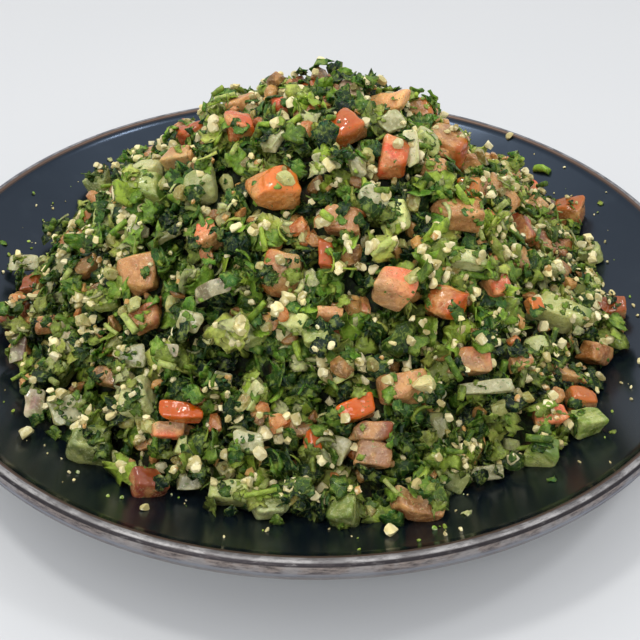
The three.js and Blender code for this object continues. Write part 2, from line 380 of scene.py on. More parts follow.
class Paint:
    """A finish in the making: a material with one Principled shader."""

    def __init__(self, name: str) -> None:
        """Starts the material.

        Args:
            name: Its name.
        """
        self.material = bpy.data.materials.new(name)
        self.material.use_nodes = True
        self.tree = self.material.node_tree
        self.shader = next(n for n in self.tree.nodes if n.type == "BSDF_PRINCIPLED")

    def node(
        self,
        kind: str,
        settings: Optional[dict[str, Any]] = None,
        plugs: Optional[dict[Union[str, int], Plug]] = None,
        output: Union[str, int] = 0,
    ) -> Link:
        """Any node.

        Args:
            kind: The node's type.
            settings: What is set on the node itself, before its sockets.
            plugs: Values or links of its sockets.
            output: The socket that is read.

        Returns:
            That socket.
        """
        made = self.tree.nodes.new(kind)
        for name, value in (settings or {}).items():
            setattr(made, name, value)
        for name, value in (plugs or {}).items():
            if isinstance(value, Link):
                self.tree.links.new(value.socket, made.inputs[name])
            else:
                made.inputs[name].default_value = value
        return Link(self, made.outputs[output])

    def where(self) -> Link:
        """The place on the object, in metres."""
        return self.node("ShaderNodeTexCoord", output="Object")

    def channel(self, name: str, output: str) -> Link:
        """A value that the mesh carries."""
        return self.node("ShaderNodeAttribute", {"attribute_name": name}, output=output)

    def noise(self, size: float, detail: float = 3.0, rough: float = 0.55, warp: float = 0.0) -> Link:
        """Cloudy noise from 0 to 1.

        Args:
            size: The clouds' size in millimetres.
            detail: How many finer layers it has.
            rough: How strong they are.
            warp: How twisted the clouds are.

        Returns:
            The noise.
        """
        plugs = {"Vector": self.where(), "Scale": 1 / (size * MM), "Detail": detail}
        plugs |= {"Roughness": rough, "Distortion": warp}
        return self.node("ShaderNodeTexNoise", None, plugs)

    def cells(self, size: float, feature: str = "F1", output: str = "Distance") -> Link:
        """Distances in a pattern of cells of a size in millimetres."""
        plugs = {"Vector": self.where(), "Scale": 1 / (size * MM)}
        return self.node("ShaderNodeTexVoronoi", {"feature": feature}, plugs, output)

    def mix(self, factor: Plug, first: Plug, second: Plug, blend: str = "MIX") -> Link:
        """Two colours mixed.

        Args:
            factor: How much of the second.
            first: A colour or its link.
            second: A colour or its link.
            blend: How they are mixed.

        Returns:
            The colour.
        """
        settings = {"data_type": "RGBA", "blend_type": blend}
        plugs = {0: factor, 6: self._colour(first), 7: self._colour(second)}
        return self.node("ShaderNodeMix", settings, plugs, 2)

    @staticmethod
    def _colour(value: Plug) -> Plug:
        """A colour with its fourth part."""
        return (*value, 1.0) if isinstance(value, tuple) and len(value) == 3 else value

    def bump(self, height: Link, depth: float, strength: float = 1.0) -> None:
        """Feeds a relief from 0 to 1 to the shader, with a depth in millimetres."""
        plugs = {"Height": height, "Distance": depth * MM, "Strength": strength}
        self.feed("Normal", self.node("ShaderNodeBump", None, plugs))

    def feed(self, socket: str, link: Link) -> None:
        """Links a value that varies to the shader."""
        self.tree.links.new(link.socket, self.shader.inputs[socket])

    def fix(self, **constants: Plug) -> None:
        """Sets constants on the shader. A name's underscores stand for its spaces."""
        for name, value in constants.items():
            self.shader.inputs[name.replace("_", " ")].default_value = value


@dataclass(frozen=True)
class HerbFinish:
    """Wet chopped parsley: each bit's own green, with paler veins, painted shade in dark blotches, painted
    light in pale blotches and a wet shine.
    """

    name: str = "wet_parsley"
    # the paler veins, and painted light in pale blotches
    pale_vein_and_painted_light: Colour = srgb(188, 208, 94)
    # painted shade, mixed in by dark blotches
    fold: Colour = srgb(6, 26, 14)
    roughness: float = 0.27
    coat: float = 0.1
    soak: float = 0.3

    def make(self) -> bpy.types.Material:
        """The finish.

        Returns:
            The material.
        """
        paint = Paint(self.name)
        tint = paint.channel("tint", "Color")
        blotch = paint.noise(2.4, 2.0)
        fine = paint.noise(0.7, 2.0, 0.6, 0.6)
        veins = 1 - paint.cells(1.9, "DISTANCE_TO_EDGE").step(0.0, 0.08)
        # Painted shade: dark blotches of the fold colour.
        colour = paint.mix((1 - blotch.step(0.36, 0.5)) * 0.4, tint, self.fold)
        # Painted light: pale blotches.
        colour = paint.mix(blotch.step(0.52, 0.68) * 0.34, colour, self.pale_vein_and_painted_light)
        colour = paint.mix(veins * fine.step(0.4, 0.6) * 0.26, colour, self.pale_vein_and_painted_light)
        paint.feed("Base Color", colour)
        paint.feed("Roughness", self.roughness + 0.35 * fine)
        paint.bump(fine * 0.8 + 0.5 * veins + blotch, 0.3, 0.8)
        paint.fix(
            Coat_Weight=self.coat,
            Coat_Roughness=0.1,
            Specular_IOR_Level=0.3,
            Subsurface_Weight=self.soak,
            Subsurface_Radius=(0.6, 1.0, 0.3),
            Subsurface_Scale=1.4 * MM,
        )
        return paint.material


@dataclass(frozen=True)
class DiceFinish:
    """Cut fruit: wet flesh with fine fibres and specks, and a smoother skin where it is left on."""

    name: str
    speck: Colour
    dark: Colour
    skin: Colour
    ripe: Colour
    skin_share: float
    roughness: float = 0.12
    coat: float = 0.18
    soak: float = 0.45
    grain: float = 0.9
    relief: float = 0.34
    herb: Colour = srgb(84, 112, 34)

    def make(self) -> bpy.types.Material:
        """The finish.

        Returns:
            The material.
        """
        paint = Paint(self.name)
        tint = paint.channel("tint", "Color")
        skin = paint.channel("skin", "Fac")
        clouds = paint.noise(3.2, 2.0).step(0.3, 0.72)
        fibres = paint.noise(self.grain, 3.0, 0.65, 0.5)
        flesh = paint.mix(paint.noise(4.2, 1.0).step(0.46, 0.62) * 0.5, tint, self.ripe)
        flesh = paint.mix(clouds * 0.28, flesh, self.dark)
        flesh = paint.mix(fibres.step(0.5, 0.7) * 0.5, flesh, self.speck)
        flesh = paint.mix((1 - fibres.step(0.3, 0.44)) * 0.4, flesh, self.dark)
        peel = paint.mix(self.skin_share, tint, self.skin, "MULTIPLY")
        peel = paint.mix(clouds * 0.06, peel, self.speck)
        stuck = paint.noise(0.9, 2.0).step(0.64, 0.69) * 0.65
        paint.feed("Base Color", paint.mix(stuck, paint.mix(skin, flesh, peel), self.herb))
        paint.feed("Roughness", (self.roughness + 0.16 * clouds) * (1 - 0.4 * skin))
        paint.bump(fibres * (1 - 0.9 * skin) + paint.noise(2.6, 1.0) * 2.4, self.relief, 0.9)
        paint.fix(
            Coat_Weight=self.coat,
            Coat_Roughness=0.08,
            Specular_IOR_Level=0.5,
            Subsurface_Weight=self.soak,
            Subsurface_Radius=(1.0, 0.7, 0.45),
            Subsurface_Scale=1.8 * MM,
        )
        return paint.material


@dataclass(frozen=True)
class GrainFinish:
    """Soaked cracked wheat: cream, a little chalky, with darker bran along its cracks."""

    name: str = "soaked_grain"
    bran: Colour = srgb(206, 176, 112)
    chalk: Colour = srgb(255, 250, 216)

    def make(self) -> bpy.types.Material:
        """The finish.

        Returns:
            The material.
        """
        paint = Paint(self.name)
        tint = paint.channel("tint", "Color")
        clouds = paint.noise(1.4, 2.0)
        fine = paint.noise(0.35, 2.0)
        colour = paint.mix(clouds.step(0.48, 0.72) * 0.6, tint, self.chalk)
        colour = paint.mix((1 - clouds.step(0.3, 0.42)) * 0.35, colour, self.bran)
        paint.feed("Base Color", colour)
        paint.feed("Roughness", 0.38 + 0.25 * fine)
        paint.bump(fine + clouds, 0.12, 0.7)
        paint.fix(Coat_Weight=0.15, Coat_Roughness=0.15)
        return paint.material


@dataclass(frozen=True)
class MashFinish:
    """The inside of the heap between its pieces: a wet, fine mash, near black in places as painted shade for
    the gaps between the pieces.
    """

    name: str = "dark_mash"
    painted_gap_shade: Colour = srgb(12, 18, 6)
    green: Colour = srgb(44, 64, 18)
    rusty: Colour = srgb(84, 52, 26)

    def make(self) -> bpy.types.Material:
        """The finish.

        Returns:
            The material.
        """
        paint = Paint(self.name)
        fine = paint.noise(1.3, 4.0, 0.65)
        wide = paint.noise(6.0, 2.0).step(0.5, 0.7)
        # Painted shade: near black where the noise is low, the mash's green elsewhere.
        colour = paint.mix(fine.step(0.42, 0.7), self.painted_gap_shade, self.green)
        paint.feed("Base Color", paint.mix(wide * 0.4, colour, self.rusty))
        paint.feed("Roughness", 0.45 + 0.4 * fine)
        paint.bump(fine, 0.6, 1.0)
        paint.fix(Specular_IOR_Level=0.25)
        return paint.material


@dataclass(frozen=True)
class GlazeFinish:
    """Blue-black satin glaze, and a metal rim with a copper line, a painted highlight on its bead, a painted
    dark line below it, a worn band and a lower edge painted bright as a reflection.
    """

    name: str = "black_glaze"
    black: Colour = srgb(11, 18, 24)
    dust: Colour = srgb(56, 64, 70)
    gloss: Colour = srgb(196, 220, 255)
    copper: Colour = srgb(112, 92, 80)
    silver_and_painted_highlight: Colour = srgb(166, 163, 162)
    bronze: Colour = srgb(158, 146, 139)
    tarnish_and_painted_dark_line: Colour = srgb(60, 55, 56)
    rim_radius: float = 123.3
    rim_low: float = 22.0
    bead_radius: float = 124.2  # where the copper line ends and the bead starts
    bead_low: float = 27.92
    line_low: float = 27.3  # the foot of the painted dark line below the bead, a painted reflection
    edge_low: float = 25.2  # the foot of the worn band, above the lower edge painted bright as a reflection

    def make(self) -> bpy.types.Material:
        """The finish.

        Returns:
            The material.
        """
        paint = Paint(self.name)
        sides = paint.node("ShaderNodeSeparateXYZ", None, {0: paint.where()}).socket.node.outputs
        x, y, z = (Link(paint, sides[name]) for name in "XYZ")
        z = z / MM
        radius = (x * x + y * y) ** 0.5 / MM
        bearing = paint.node("ShaderNodeMath", {"operation": "ARCTAN2"}, {0: y, 1: x})
        plugs = {0: bearing * 48.0, 1: z * 1.7, 2: radius * 1.7}
        along = paint.node("ShaderNodeCombineXYZ", None, plugs)
        plugs = {"Vector": along, "Scale": 1.0, "Detail": 5.0, "Roughness": 0.75}
        streaks = paint.node("ShaderNodeTexNoise", None, plugs)
        grime = paint.noise(9.0, 4.0, 0.6)
        rim = radius.step(self.rim_radius - 0.35, self.rim_radius + 0.15)
        rim = rim * z.step(self.rim_low - 0.4, self.rim_low + 0.1)
        metal = paint.mix(streaks.step(0.24, 0.66), self.tarnish_and_painted_dark_line, self.bronze)
        metal = paint.mix(grime.step(0.46, 0.6) * 0.55, metal, self.silver_and_painted_highlight)
        # Painted shade: a dark line below the bead, as a dark reflection.
        line = z.step(self.line_low - 0.15, self.line_low + 0.05) * (0.5 + 0.5 * streaks.step(0.3, 0.5))
        metal = paint.mix(line, metal, self.tarnish_and_painted_dark_line)
        # Painted reflection: the lower edge coloured bright.
        edge = 1 - z.step(self.edge_low - 0.3, self.edge_low + 0.1)
        metal = paint.mix(edge * 0.6, metal, self.silver_and_painted_highlight)
        # Painted highlight: the bead coloured silver, broken along the rim.
        bead = radius.step(self.bead_radius - 0.2, self.bead_radius)
        bead = bead * z.step(self.bead_low - 0.15, self.bead_low)
        patchy_painted_highlight = (0.35 + 0.65 * streaks.step(0.34, 0.56)) * (0.5 + 0.5 * grime.step(0.4, 0.56))
        metal = paint.mix(bead * patchy_painted_highlight, metal, self.silver_and_painted_highlight)
        inner = 1 - radius.step(self.bead_radius - 0.3, self.bead_radius + 0.1)
        metal = paint.mix(inner, metal, self.copper)
        glaze = paint.mix(grime.step(0.5, 0.8) * 0.12, self.black, self.dust)
        paint.feed("Base Color", paint.mix(rim, glaze, metal))
        paint.feed("Metallic", rim * 0.85)
        paint.feed("Roughness", (0.17 + 0.12 * grime) * (1 - rim) + (0.28 + 0.4 * streaks) * rim)
        paint.bump(grime * 0.5 + streaks * rim, 0.05, 0.5)
        paint.fix(Specular_IOR_Level=0.78, Specular_Tint=(*self.gloss, 1.0))
        return paint.material


@dataclass(frozen=True)
class TableFinish:
    """A plain pale table with the least unevenness."""

    name: str = "pale_table"
    pale: Colour = srgb(215, 216, 218)
    cool: Colour = srgb(209, 211, 214)

    def make(self) -> bpy.types.Material:
        """The finish.

        Returns:
            The material.
        """
        paint = Paint(self.name)
        paint.feed("Base Color", paint.mix(paint.noise(260.0, 1.0), self.pale, self.cool))
        paint.fix(Roughness=0.6, Specular_IOR_Level=0.2)
        return paint.material


# ------------------------------------------------------------------ the camera and the studio


@dataclass(frozen=True)
class Viewpoint:
    """Where the camera stands, and which line a pixel looks along."""

    target: Triple = (2.25, -41.6, 28.0)
    distance: float = 231.5
    elevation: float = 38.45
    roll: float = 0.94
    field_of_view: float = 45.0

    def axes(self) -> Array:
        """The camera's right, up and back as rows.

        Returns:
            (3, 3) directions.
        """
        rise, roll = math.radians(self.elevation), math.radians(self.roll)
        back = np.array([0.0, -math.cos(rise), math.sin(rise)])
        right = np.array([1.0, 0.0, 0.0])
        up = np.cross(back, right)
        cos, sin = math.cos(roll), math.sin(roll)
        return np.array([cos * right + sin * up, cos * up - sin * right, back])

    def stand(self) -> Array:
        """The camera's place in millimetres."""
        return np.array(self.target) + self.axes()[2] * self.distance

    def focal(self) -> float:
        """The picture's distance, in pixels."""
        return PICTURE / 2 / math.tan(math.radians(self.field_of_view / 2))

    def line(self, across: float, down: float) -> Array:
        """The direction in which a pixel looks.

        Args:
            across: Pixels from the picture's left edge.
            down: Pixels from its upper edge.

        Returns:
            The direction.
        """
        right, up, back = self.axes()
        half = PICTURE / 2
        return unit(right * (across - half) / self.focal() - up * (down - half) / self.focal() - back)

    def scale_at(self, point: Array) -> float:
        """Pixels for each millimetre at a place."""
        return self.focal() / float((self.stand() - point) @ self.axes()[2])

    def make_camera(self) -> None:
        """Makes the scene's camera."""
        data = bpy.data.cameras.new("camera")
        data.sensor_fit = "HORIZONTAL"
        data.angle = math.radians(self.field_of_view)
        data.clip_start, data.clip_end = 0.01, 20.0
        made = bpy.data.objects.new("camera", data)
        turn = Matrix([list(row) for row in self.axes().T]).to_4x4()
        made.matrix_world = Matrix.Translation(Vector(self.stand() * MM)) @ turn
        bpy.context.scene.collection.objects.link(made)
        bpy.context.scene.camera = made


@dataclass(frozen=True)
class Softbox:
    """A wide soft lamp that faces the plate."""

    name: str
    place: Triple
    size: float
    watts: float
    tone: Colour = (1.0, 1.0, 1.0)

    def build(self) -> None:
        """Makes the lamp."""
        data = bpy.data.lights.new(self.name, "AREA")
        data.shape, data.size, data.energy, data.color = "DISK", self.size, self.watts, self.tone
        made = bpy.data.objects.new(self.name, data)
        place = Vector(self.place)
        made.location = place
        made.rotation_euler = (Vector(LAMP_AIM) - place).to_track_quat("-Z", "Y").to_euler()
        bpy.context.scene.collection.objects.link(made)


@dataclass
class Studio:
    """A pale table, pale surroundings and soft lamps above."""

    table_reach: float = 2200.0
    table_rings: int = 14
    table_spokes: int = 96
    sky: Colour = srgb(234, 235, 236)
    sky_strength: float = 0.82
    lamps: tuple[Softbox, ...] = (
        Softbox("top_lamp", (-0.1, 0.1, 1.3), size=1.7, watts=2.9, tone=(1.0, 1.0, 0.99)),
        Softbox("key_lamp", (-0.3, 0.1, 1.2), size=0.16, watts=3.1, tone=(1.0, 0.99, 0.96)),
        Softbox("side_lamp", (0.65, 0.1, 1.1), size=0.16, watts=2.0),
        Softbox("fill_lamp", (-0.3, -0.9, 0.9), size=0.6, watts=4.4, tone=(1.0, 1.0, 0.99)),
    )

    def build(self) -> None:
        """Makes the table, the surroundings and the lamps."""
        self._table()
        world = bpy.data.worlds.new("surroundings")
        world.use_nodes = True
        background = world.node_tree.nodes["Background"]
        background.inputs["Color"].default_value = (*self.sky, 1.0)
        background.inputs["Strength"].default_value = self.sky_strength
        bpy.context.scene.world = world
        for lamp in self.lamps:
            lamp.build()
        bpy.context.scene.view_settings.view_transform = "Standard"

    def _table(self) -> None:
        """Makes the table: a wide disc with its middle at the plate's foot."""
        turn = full_turn(self.table_spokes)
        circle = np.stack([np.cos(turn), np.sin(turn), 0 * turn], axis=1)
        rings = [radius * circle for radius in np.geomspace(60, self.table_reach, self.table_rings)]
        triangles = fan_and_bands(self.table_rings, self.table_spokes, (True, False))
        table = mesh_object("table", np.concatenate([np.zeros((1, 3)), *rings]), triangles)
        table.data.materials.append(TableFinish().make())


# ------------------------------------------------------------------ the plate


@dataclass
class CoupePlate:
    """A round plate whose wall rises in one curve from a flat floor to a metal rim."""

    crest_radius: float = 125.0
    crest_height: float = 28.0
    lip_radius: float = 123.2
    lip_height: float = 27.0
    bead_radius: float = 126.7
    bead_height: float = 25.6
    skirt_radius: float = 126.0
    skirt_height: float = 23.1
    floor_radius: float = 58.0
    floor_height: float = 6.0
    curve: float = 2.2
    wall: float = 4.6
    foot_radius: float = 66.0
    foot_width: float = 5.0
    recess: float = 1.5
    segments: int = 200

    def height(self, radius: Array) -> Array:
        """Height of the upper surface at a radius."""
        along = np.clip((radius - self.floor_radius) / (self.lip_radius - self.floor_radius), 0, 1)
        return self.floor_height + (self.lip_height - self.floor_height) * along**self.curve

    def slope(self, radius: Array) -> Array:
        """Rise of the upper surface for each millimetre outwards."""
        return self.height(radius + 0.5) - self.height(radius - 0.5)

    def normal(self, place: Array) -> Array:
        """The direction out of the upper surface at a place on it.

        Args:
            place: The place.

        Returns:
            The direction.
        """
        radius = np.hypot(place[0], place[1])
        slope = float(self.slope(radius))
        return unit(np.array([-slope * place[0] / radius, -slope * place[1] / radius, 1.0]))

    def section(self) -> Array:
        """The plate's section, from the middle of its underside round to the middle of its floor.

        Returns:
            (p, 2) radii and heights.
        """
        inner = self.foot_radius - self.foot_width
        foot = [
            (0.0, self.recess), (20, self.recess), (40, self.recess), (inner - 1.5, self.recess),
            (inner - 0.5, 0.35), (inner, 0.0), (self.foot_radius - 0.4, 0.0),
            (self.foot_radius, 0.3), (self.foot_radius + 0.5, 1.5),
        ]
        low = np.linspace(self.foot_radius + 1.5, self.skirt_radius, 26)
        under = self.height(low) - self.wall * np.hypot(1, self.slope(low))
        outside = [(r, z) for r, z in zip(low, under) if z < self.skirt_height - 0.2]
        turn = np.linspace(0, math.pi / 2, 8)
        bead = [
            (
                self.crest_radius + (self.bead_radius - self.crest_radius) * math.cos(a),
                self.bead_height + (self.crest_height - self.bead_height) * math.sin(a),
            )
            for a in turn
        ]
        lip = [
            (
                self.crest_radius - (self.crest_radius - self.lip_radius) * math.sin(a),
                self.lip_height + (self.crest_height - self.lip_height) * math.cos(a),
            )
            for a in turn[1:]
        ]
        high = np.linspace(self.lip_radius, self.floor_radius, 30)[1:]
        inside = list(zip(high, self.height(high)))
        floor = [(40.0, self.floor_height), (20.0, self.floor_height), (0.0, self.floor_height)]
        edge, rise = self.skirt_radius, self.skirt_height
        skirt = [(edge - 0.3, rise - 0.15), (edge, rise + 0.2)]
        return np.array([*foot, *outside, *skirt, *bead, *lip, *inside, *floor])

    def build(self) -> None:
        """Turns the section into the plate."""
        section = self.section()
        turn = full_turn(self.segments)
        rings = section[1:-1]
        x = rings[:, :1] * np.cos(turn)
        y = rings[:, :1] * np.sin(turn)
        z = np.broadcast_to(rings[:, 1:], x.shape)
        body = np.stack([x, y, z], axis=-1).reshape(-1, 3)
        points = np.concatenate([[[0, 0, section[0, 1]]], body, [[0, 0, section[-1, 1]]]])
        triangles = fan_and_bands(len(rings), self.segments, (True, True))[:, ::-1]
        made = mesh_object("coupe_plate", points, triangles, self._map(section, points, triangles))
        log.info("coupe_plate: %d triangles", len(triangles))
        dress(made, GlazeFinish().make(), "plate")

    def _map(self, section: Array, points: Array, triangles: Array) -> Array:
        """The flat map: the underside and the upper side as two discs side by side, the rim shared between
        them.

        Args:
            section: The section.
            points: The plate's points.
            triangles: Its triangles.

        Returns:
            (t, 3, 2) places.
        """
        run = np.concatenate([[0], np.cumsum(np.hypot(*np.diff(section, axis=0).T))])
        along = np.concatenate([run[:1], np.repeat(run[1:-1], self.segments), run[-1:]]) / run[-1]
        corners = along[triangles]
        bearing = np.arctan2(points[:, 1], points[:, 0])[triangles]
        under = corners.mean(axis=1) < 0.5
        reach = np.where(under[:, None], corners, 1 - corners) * 0.48 * 2
        middle = np.where(under, 0.25, 0.75)[:, None]
        across = middle + 0.5 * reach * 0.5 * np.cos(bearing)
        up = 0.5 + reach * 0.5 * np.sin(bearing)
        return np.stack([across, up], axis=-1)


# ------------------------------------------------------------------ the heap's form


@dataclass
class Mound:
    """The heap's own form, without its pieces: the same form as its solid."""

    plate: CoupePlate
    rise: float = 73.0
    foot_radius: float = 103.5
    dome: float = 2.2
    skirt: float = 1.62
    peak: Pair = (3.5, -5.0)
    lobes: tuple[Triple, ...] = (  # bearing, reach, half width
        (-117, 5, 7), (-109, -6, 5), (-97, 4, 7), (-77, 8, 8), (-65, -10, 5), (-52, 4, 12),
        (-32, -2, 7), (3, -3, 9), (19, 4, 9), (60, -2, 12), (112, 3, 14), (171, -4, 9),
    )
    humps: tuple[Triple, ...] = ((-62, -12, 5.0), (74, 2, -4.2))  # x, y, rise
    hump_reach: float = 28.0
    swell: float = 1.3
    swell_length: float = 34.0

    def foot(self, bearing: Array) -> Array:
        """The foot's radius at bearings in radians.

        Args:
            bearing: The bearings.

        Returns:
            The radii.
        """
        radius = np.full(np.shape(bearing), self.foot_radius)
        for at, reach, width in self.lobes:
            turn = (np.degrees(bearing) - at + 180) % 360 - 180
            radius = radius + reach * np.exp(-((turn / width) ** 2))
        return radius

    def relief(self, x: Array, y: Array) -> Array:
        """The low lumps and the shoulders.

        Args:
            x: Places to the right.
            y: Places to the back.

        Returns:
            Heights.
        """
        wave = 2 * np.pi / self.swell_length
        high = np.sin(wave * x + 1.3) * np.cos(wave * y - 0.4) + 0.6 * np.sin(1.7 * wave * (x + 0.6 * y))
        high = high * self.swell
        for at_x, at_y, rise in self.humps:
            high = high + rise * np.exp(-((np.hypot(x - at_x, y - at_y) / self.hump_reach) ** 2))
        return high

    def point(self, share: Array, bearing: Array) -> Array:
        """Places on the form.

        Args:
            share: 0 at the peak and 1 at the foot.
            bearing: Bearings in radians.

        Returns:
            (..., 3) places.
        """
        foot = self.foot(bearing)
        lean = 1 - share * share
        x = share * foot * np.cos(bearing) + self.peak[0] * lean
        y = share * foot * np.sin(bearing) + self.peak[1] * lean
        floor = self.plate.floor_height
        base = floor + (self.plate.height(foot) - floor) * share**4
        profile = np.maximum(1 - share**self.dome, 0) ** self.skirt
        z = base + self.rise * profile + self.relief(x, y) * (1 - share**6)
        return np.stack([x, y, z], axis=-1)

    def normal(self, share: Array, bearing: Array) -> Array:
        """The directions out of the form.

        Args:
            share: 0 at the peak and 1 at the foot.
            bearing: Bearings in radians.

        Returns:
            (..., 3) directions.
        """
        step = 0.02
        down = self.point(share + step, bearing) - self.point(np.maximum(share - step, step), bearing)
        around = self.point(share, bearing + step) - self.point(share, bearing - step)
        return unit(np.cross(down, around))

    def scatter(self, rng: Random, count: int) -> tuple[Array, Array]:
        """Places drawn evenly over the form.

        Args:
            rng: The generator.
            count: How many.

        Returns:
            Their shares and bearings.
        """
        many = count * 3 + 60
        share = np.sqrt(rng.uniform(0.0005, 1, many))
        bearing = rng.uniform(-np.pi, np.pi, many)
        steep = 1 / np.maximum(self.normal(share, bearing)[:, 2], 0.35)
        kept = np.flatnonzero(rng.uniform(0, 2.2, many) < steep)[:count]
        return share[kept], bearing[kept]
    @staticmethod
    def grid(shares: Array, around: int) -> list[Array]:
        """Shares and bearings of rings of places."""
        return np.broadcast_arrays(shares[:, None], full_turn(around, -np.pi)[None])
    def spread(
        self, rng: Random, count: int, taken: Array, draws: int = 14
    ) -> tuple[Array, Array]:
        """Places that keep off each other and off those that are taken.

        Args:
            rng: The generator.
            count: How many.
            taken: (n, 4) places and their reach.
            draws: How many places are tried for each.

        Returns:
            Their shares and bearings.
        """
        share, bearing = self.scatter(rng, count * draws)
        points = self.point(share, bearing)
        free = np.full(len(points), np.inf)
        for x, y, z, reach in taken:
            free = np.minimum(free, np.linalg.norm(points - (x, y, z), axis=1) - reach)
        chosen = []
        for piece in range(count):
            batch = slice(piece * draws, (piece + 1) * draws)
            best = batch.start + int(np.argmax(free[batch]))
            chosen.append(best)
            free = np.minimum(free, np.linalg.norm(points - points[best], axis=1))
        return share[chosen], bearing[chosen]


class Ground(Enum):
    """What a falling piece lands on."""

    CORE = 0
    DICE = 1
    HERB = 2
    GRAIN = 3
    HERBY_DICE = 4


@dataclass
class Pile:
    """All that lies on the heap so far, for the next pieces to land on."""

    points: list[Array] = field(default_factory=list)
    triangles: list[Array] = field(default_factory=list)
    grounds: list[Array] = field(default_factory=list)
    total: int = 0
    reach: float = 120.0  # how far a piece may fall

    def add(self, points: Array, triangles: Array, grounds: Union[Ground, Array]) -> None:
        """Adds a mesh.

        Args:
            points: Its points.
            triangles: Its triangles.
            grounds: What it is, or what each of its triangles is.
        """
        self.points.append(points)
        self.triangles.append(triangles + self.total)
        value = grounds.value if isinstance(grounds, Ground) else grounds
        self.grounds.append(np.broadcast_to(value, len(triangles)))
        self.total += len(points)

    def tree(self) -> tuple[BVHTree, Array]:
        """The search tree, and what each of its triangles is."""
        points, triangles = np.concatenate(self.points), np.concatenate(self.triangles)
        return BVHTree.FromPolygons(points.tolist(), triangles.tolist()), np.concatenate(self.grounds)

    def land(self, starts: Array, ways: Array) -> tuple[Array, Array, Array]:
        """Where falling pieces land.

        Args:
            starts: (n, 3) places.
            ways: (n, 3) directions.

        Returns:
            (n, 3) places, (n, 3) directions out of the surface, and (n,) grounds, -1 where none is.
        """
        tree, grounds = self.tree()
        hits, normals = np.array(starts), -ways
        what = np.full(len(starts), -1)
        for i, (start, way) in enumerate(zip(starts.tolist(), ways.tolist())):
            hit, normal, face, _ = tree.ray_cast(start, way, self.reach)
            if hit is not None:
                hits[i], normals[i], what[i] = hit, normal, grounds[face]
        flip = np.einsum("ij,ij->i", normals, ways) > 0
        normals[flip] *= -1
        return hits, normals, what


# ------------------------------------------------------------------ the kinds of piece


class Tone(Enum):
    """Colours of the cut pieces."""

    ORANGE = srgb(228, 150, 78)
    EMBER = srgb(226, 122, 6)
    RED = srgb(194, 108, 46)
    BRICK = srgb(180, 108, 62)
    ROSE = srgb(146, 84, 58)
    SALMON = srgb(196, 142, 88)
    AMBER = srgb(248, 208, 116)
    BROWN = srgb(154, 122, 72)
    PINK = srgb(190, 148, 104)
    PALE = srgb(220, 220, 136)
    LIME = srgb(172, 186, 92)
    MOSS = srgb(150, 158, 86)
    CREAM = srgb(212, 204, 146)
    WHITE = srgb(170, 168, 116)
    PURPLE = srgb(142, 102, 92)
    GREY = srgb(148, 144, 94)


def palette(*colours: Triple) -> Palette:
    """Colours given as 0 to 255 on a screen."""
    return tuple(srgb(*colour) for colour in colours)


def drawn_from(rng: Random, colours: Palette, count: int, spread: float) -> Array:
    """Colours drawn from a palette, each a little lighter or darker."""
    return np.array(colours)[rng.integers(0, len(colours), count)] * rng.lognormal(0, spread, (count, 1))


DEEP_GREENS = palette((11, 39, 22), (23, 55, 22), (38, 70, 16), (55, 85, 18))
LEAF_GREENS = palette((58, 100, 34), (80, 122, 30), (104, 138, 40), (132, 148, 58))
LIME_GREENS = palette((122, 158, 44), (148, 172, 54), (174, 182, 84), (190, 192, 132))
STEM_GREENS = palette((96, 132, 34), (126, 158, 40), (150, 174, 62), (176, 186, 104))
CREAMS = palette((242, 228, 171), (236, 220, 154), (227, 215, 164), (213, 200, 140), (188, 173, 112))
TOMATO_BITS = palette((180, 128, 70), (146, 112, 56), (204, 156, 86), (118, 90, 44), (184, 106, 50))
PALE_BITS = palette((190, 184, 112), (158, 140, 72), (210, 194, 136), (150, 122, 68), (130, 108, 54))
TOMATO_PARTNERS = palette((240, 204, 140), (178, 70, 44), (226, 164, 104), (140, 96, 62), (226, 182, 126))
CUCUMBER_PARTNERS = palette((232, 228, 172), (158, 178, 62), (112, 134, 48), (212, 214, 146))
ONION_PARTNERS = palette((212, 206, 158), (134, 132, 84), (152, 114, 104), (172, 168, 110))
TOMATO = DiceFinish(
    "tomato", speck=srgb(240, 190, 142), dark=srgb(146, 70, 40), skin=srgb(255, 196, 120),
    ripe=srgb(238, 182, 112), skin_share=0.8,
)
CUCUMBER = DiceFinish(
    "cucumber", speck=srgb(224, 226, 172), dark=srgb(96, 122, 46), skin=srgb(110, 150, 70),
    ripe=srgb(208, 210, 130), skin_share=0.9, roughness=0.2, coat=0.2, soak=0.4,
)
ONION = DiceFinish(
    "onion", speck=srgb(224, 218, 176), dark=srgb(116, 112, 70), skin=srgb(120, 70, 90),
    ripe=srgb(224, 218, 176), skin_share=0.8, roughness=0.2, coat=0.3, soak=0.4, grain=1.2, relief=0.2,
)
HERBY_TONES = (Tone.MOSS, Tone.LIME, Tone.SALMON, Tone.BROWN, Tone.PALE, Tone.GREY, Tone.WHITE)


class Peel(Enum):
    """Which side of a cut piece keeps its skin."""

    NONE = 0
    TOP = 1
    SIDE = 2


@dataclass(frozen=True)
class Landmark:
    """A piece with a place of its own: its middle and size in pixels, its turn in degrees."""

    across: float
    down: float
    width: float
    height: float
    tone: Tone
    turn: float = 0.0
    proud: float = 6.4  # how far its upper side stands out of the form
    peel: Peel = Peel.NONE


def landmarks(*rows: tuple) -> tuple[Landmark, ...]:
    """Landmarks from rows of their values, in the order of their fields."""
    return tuple(Landmark(*row) for row in rows)


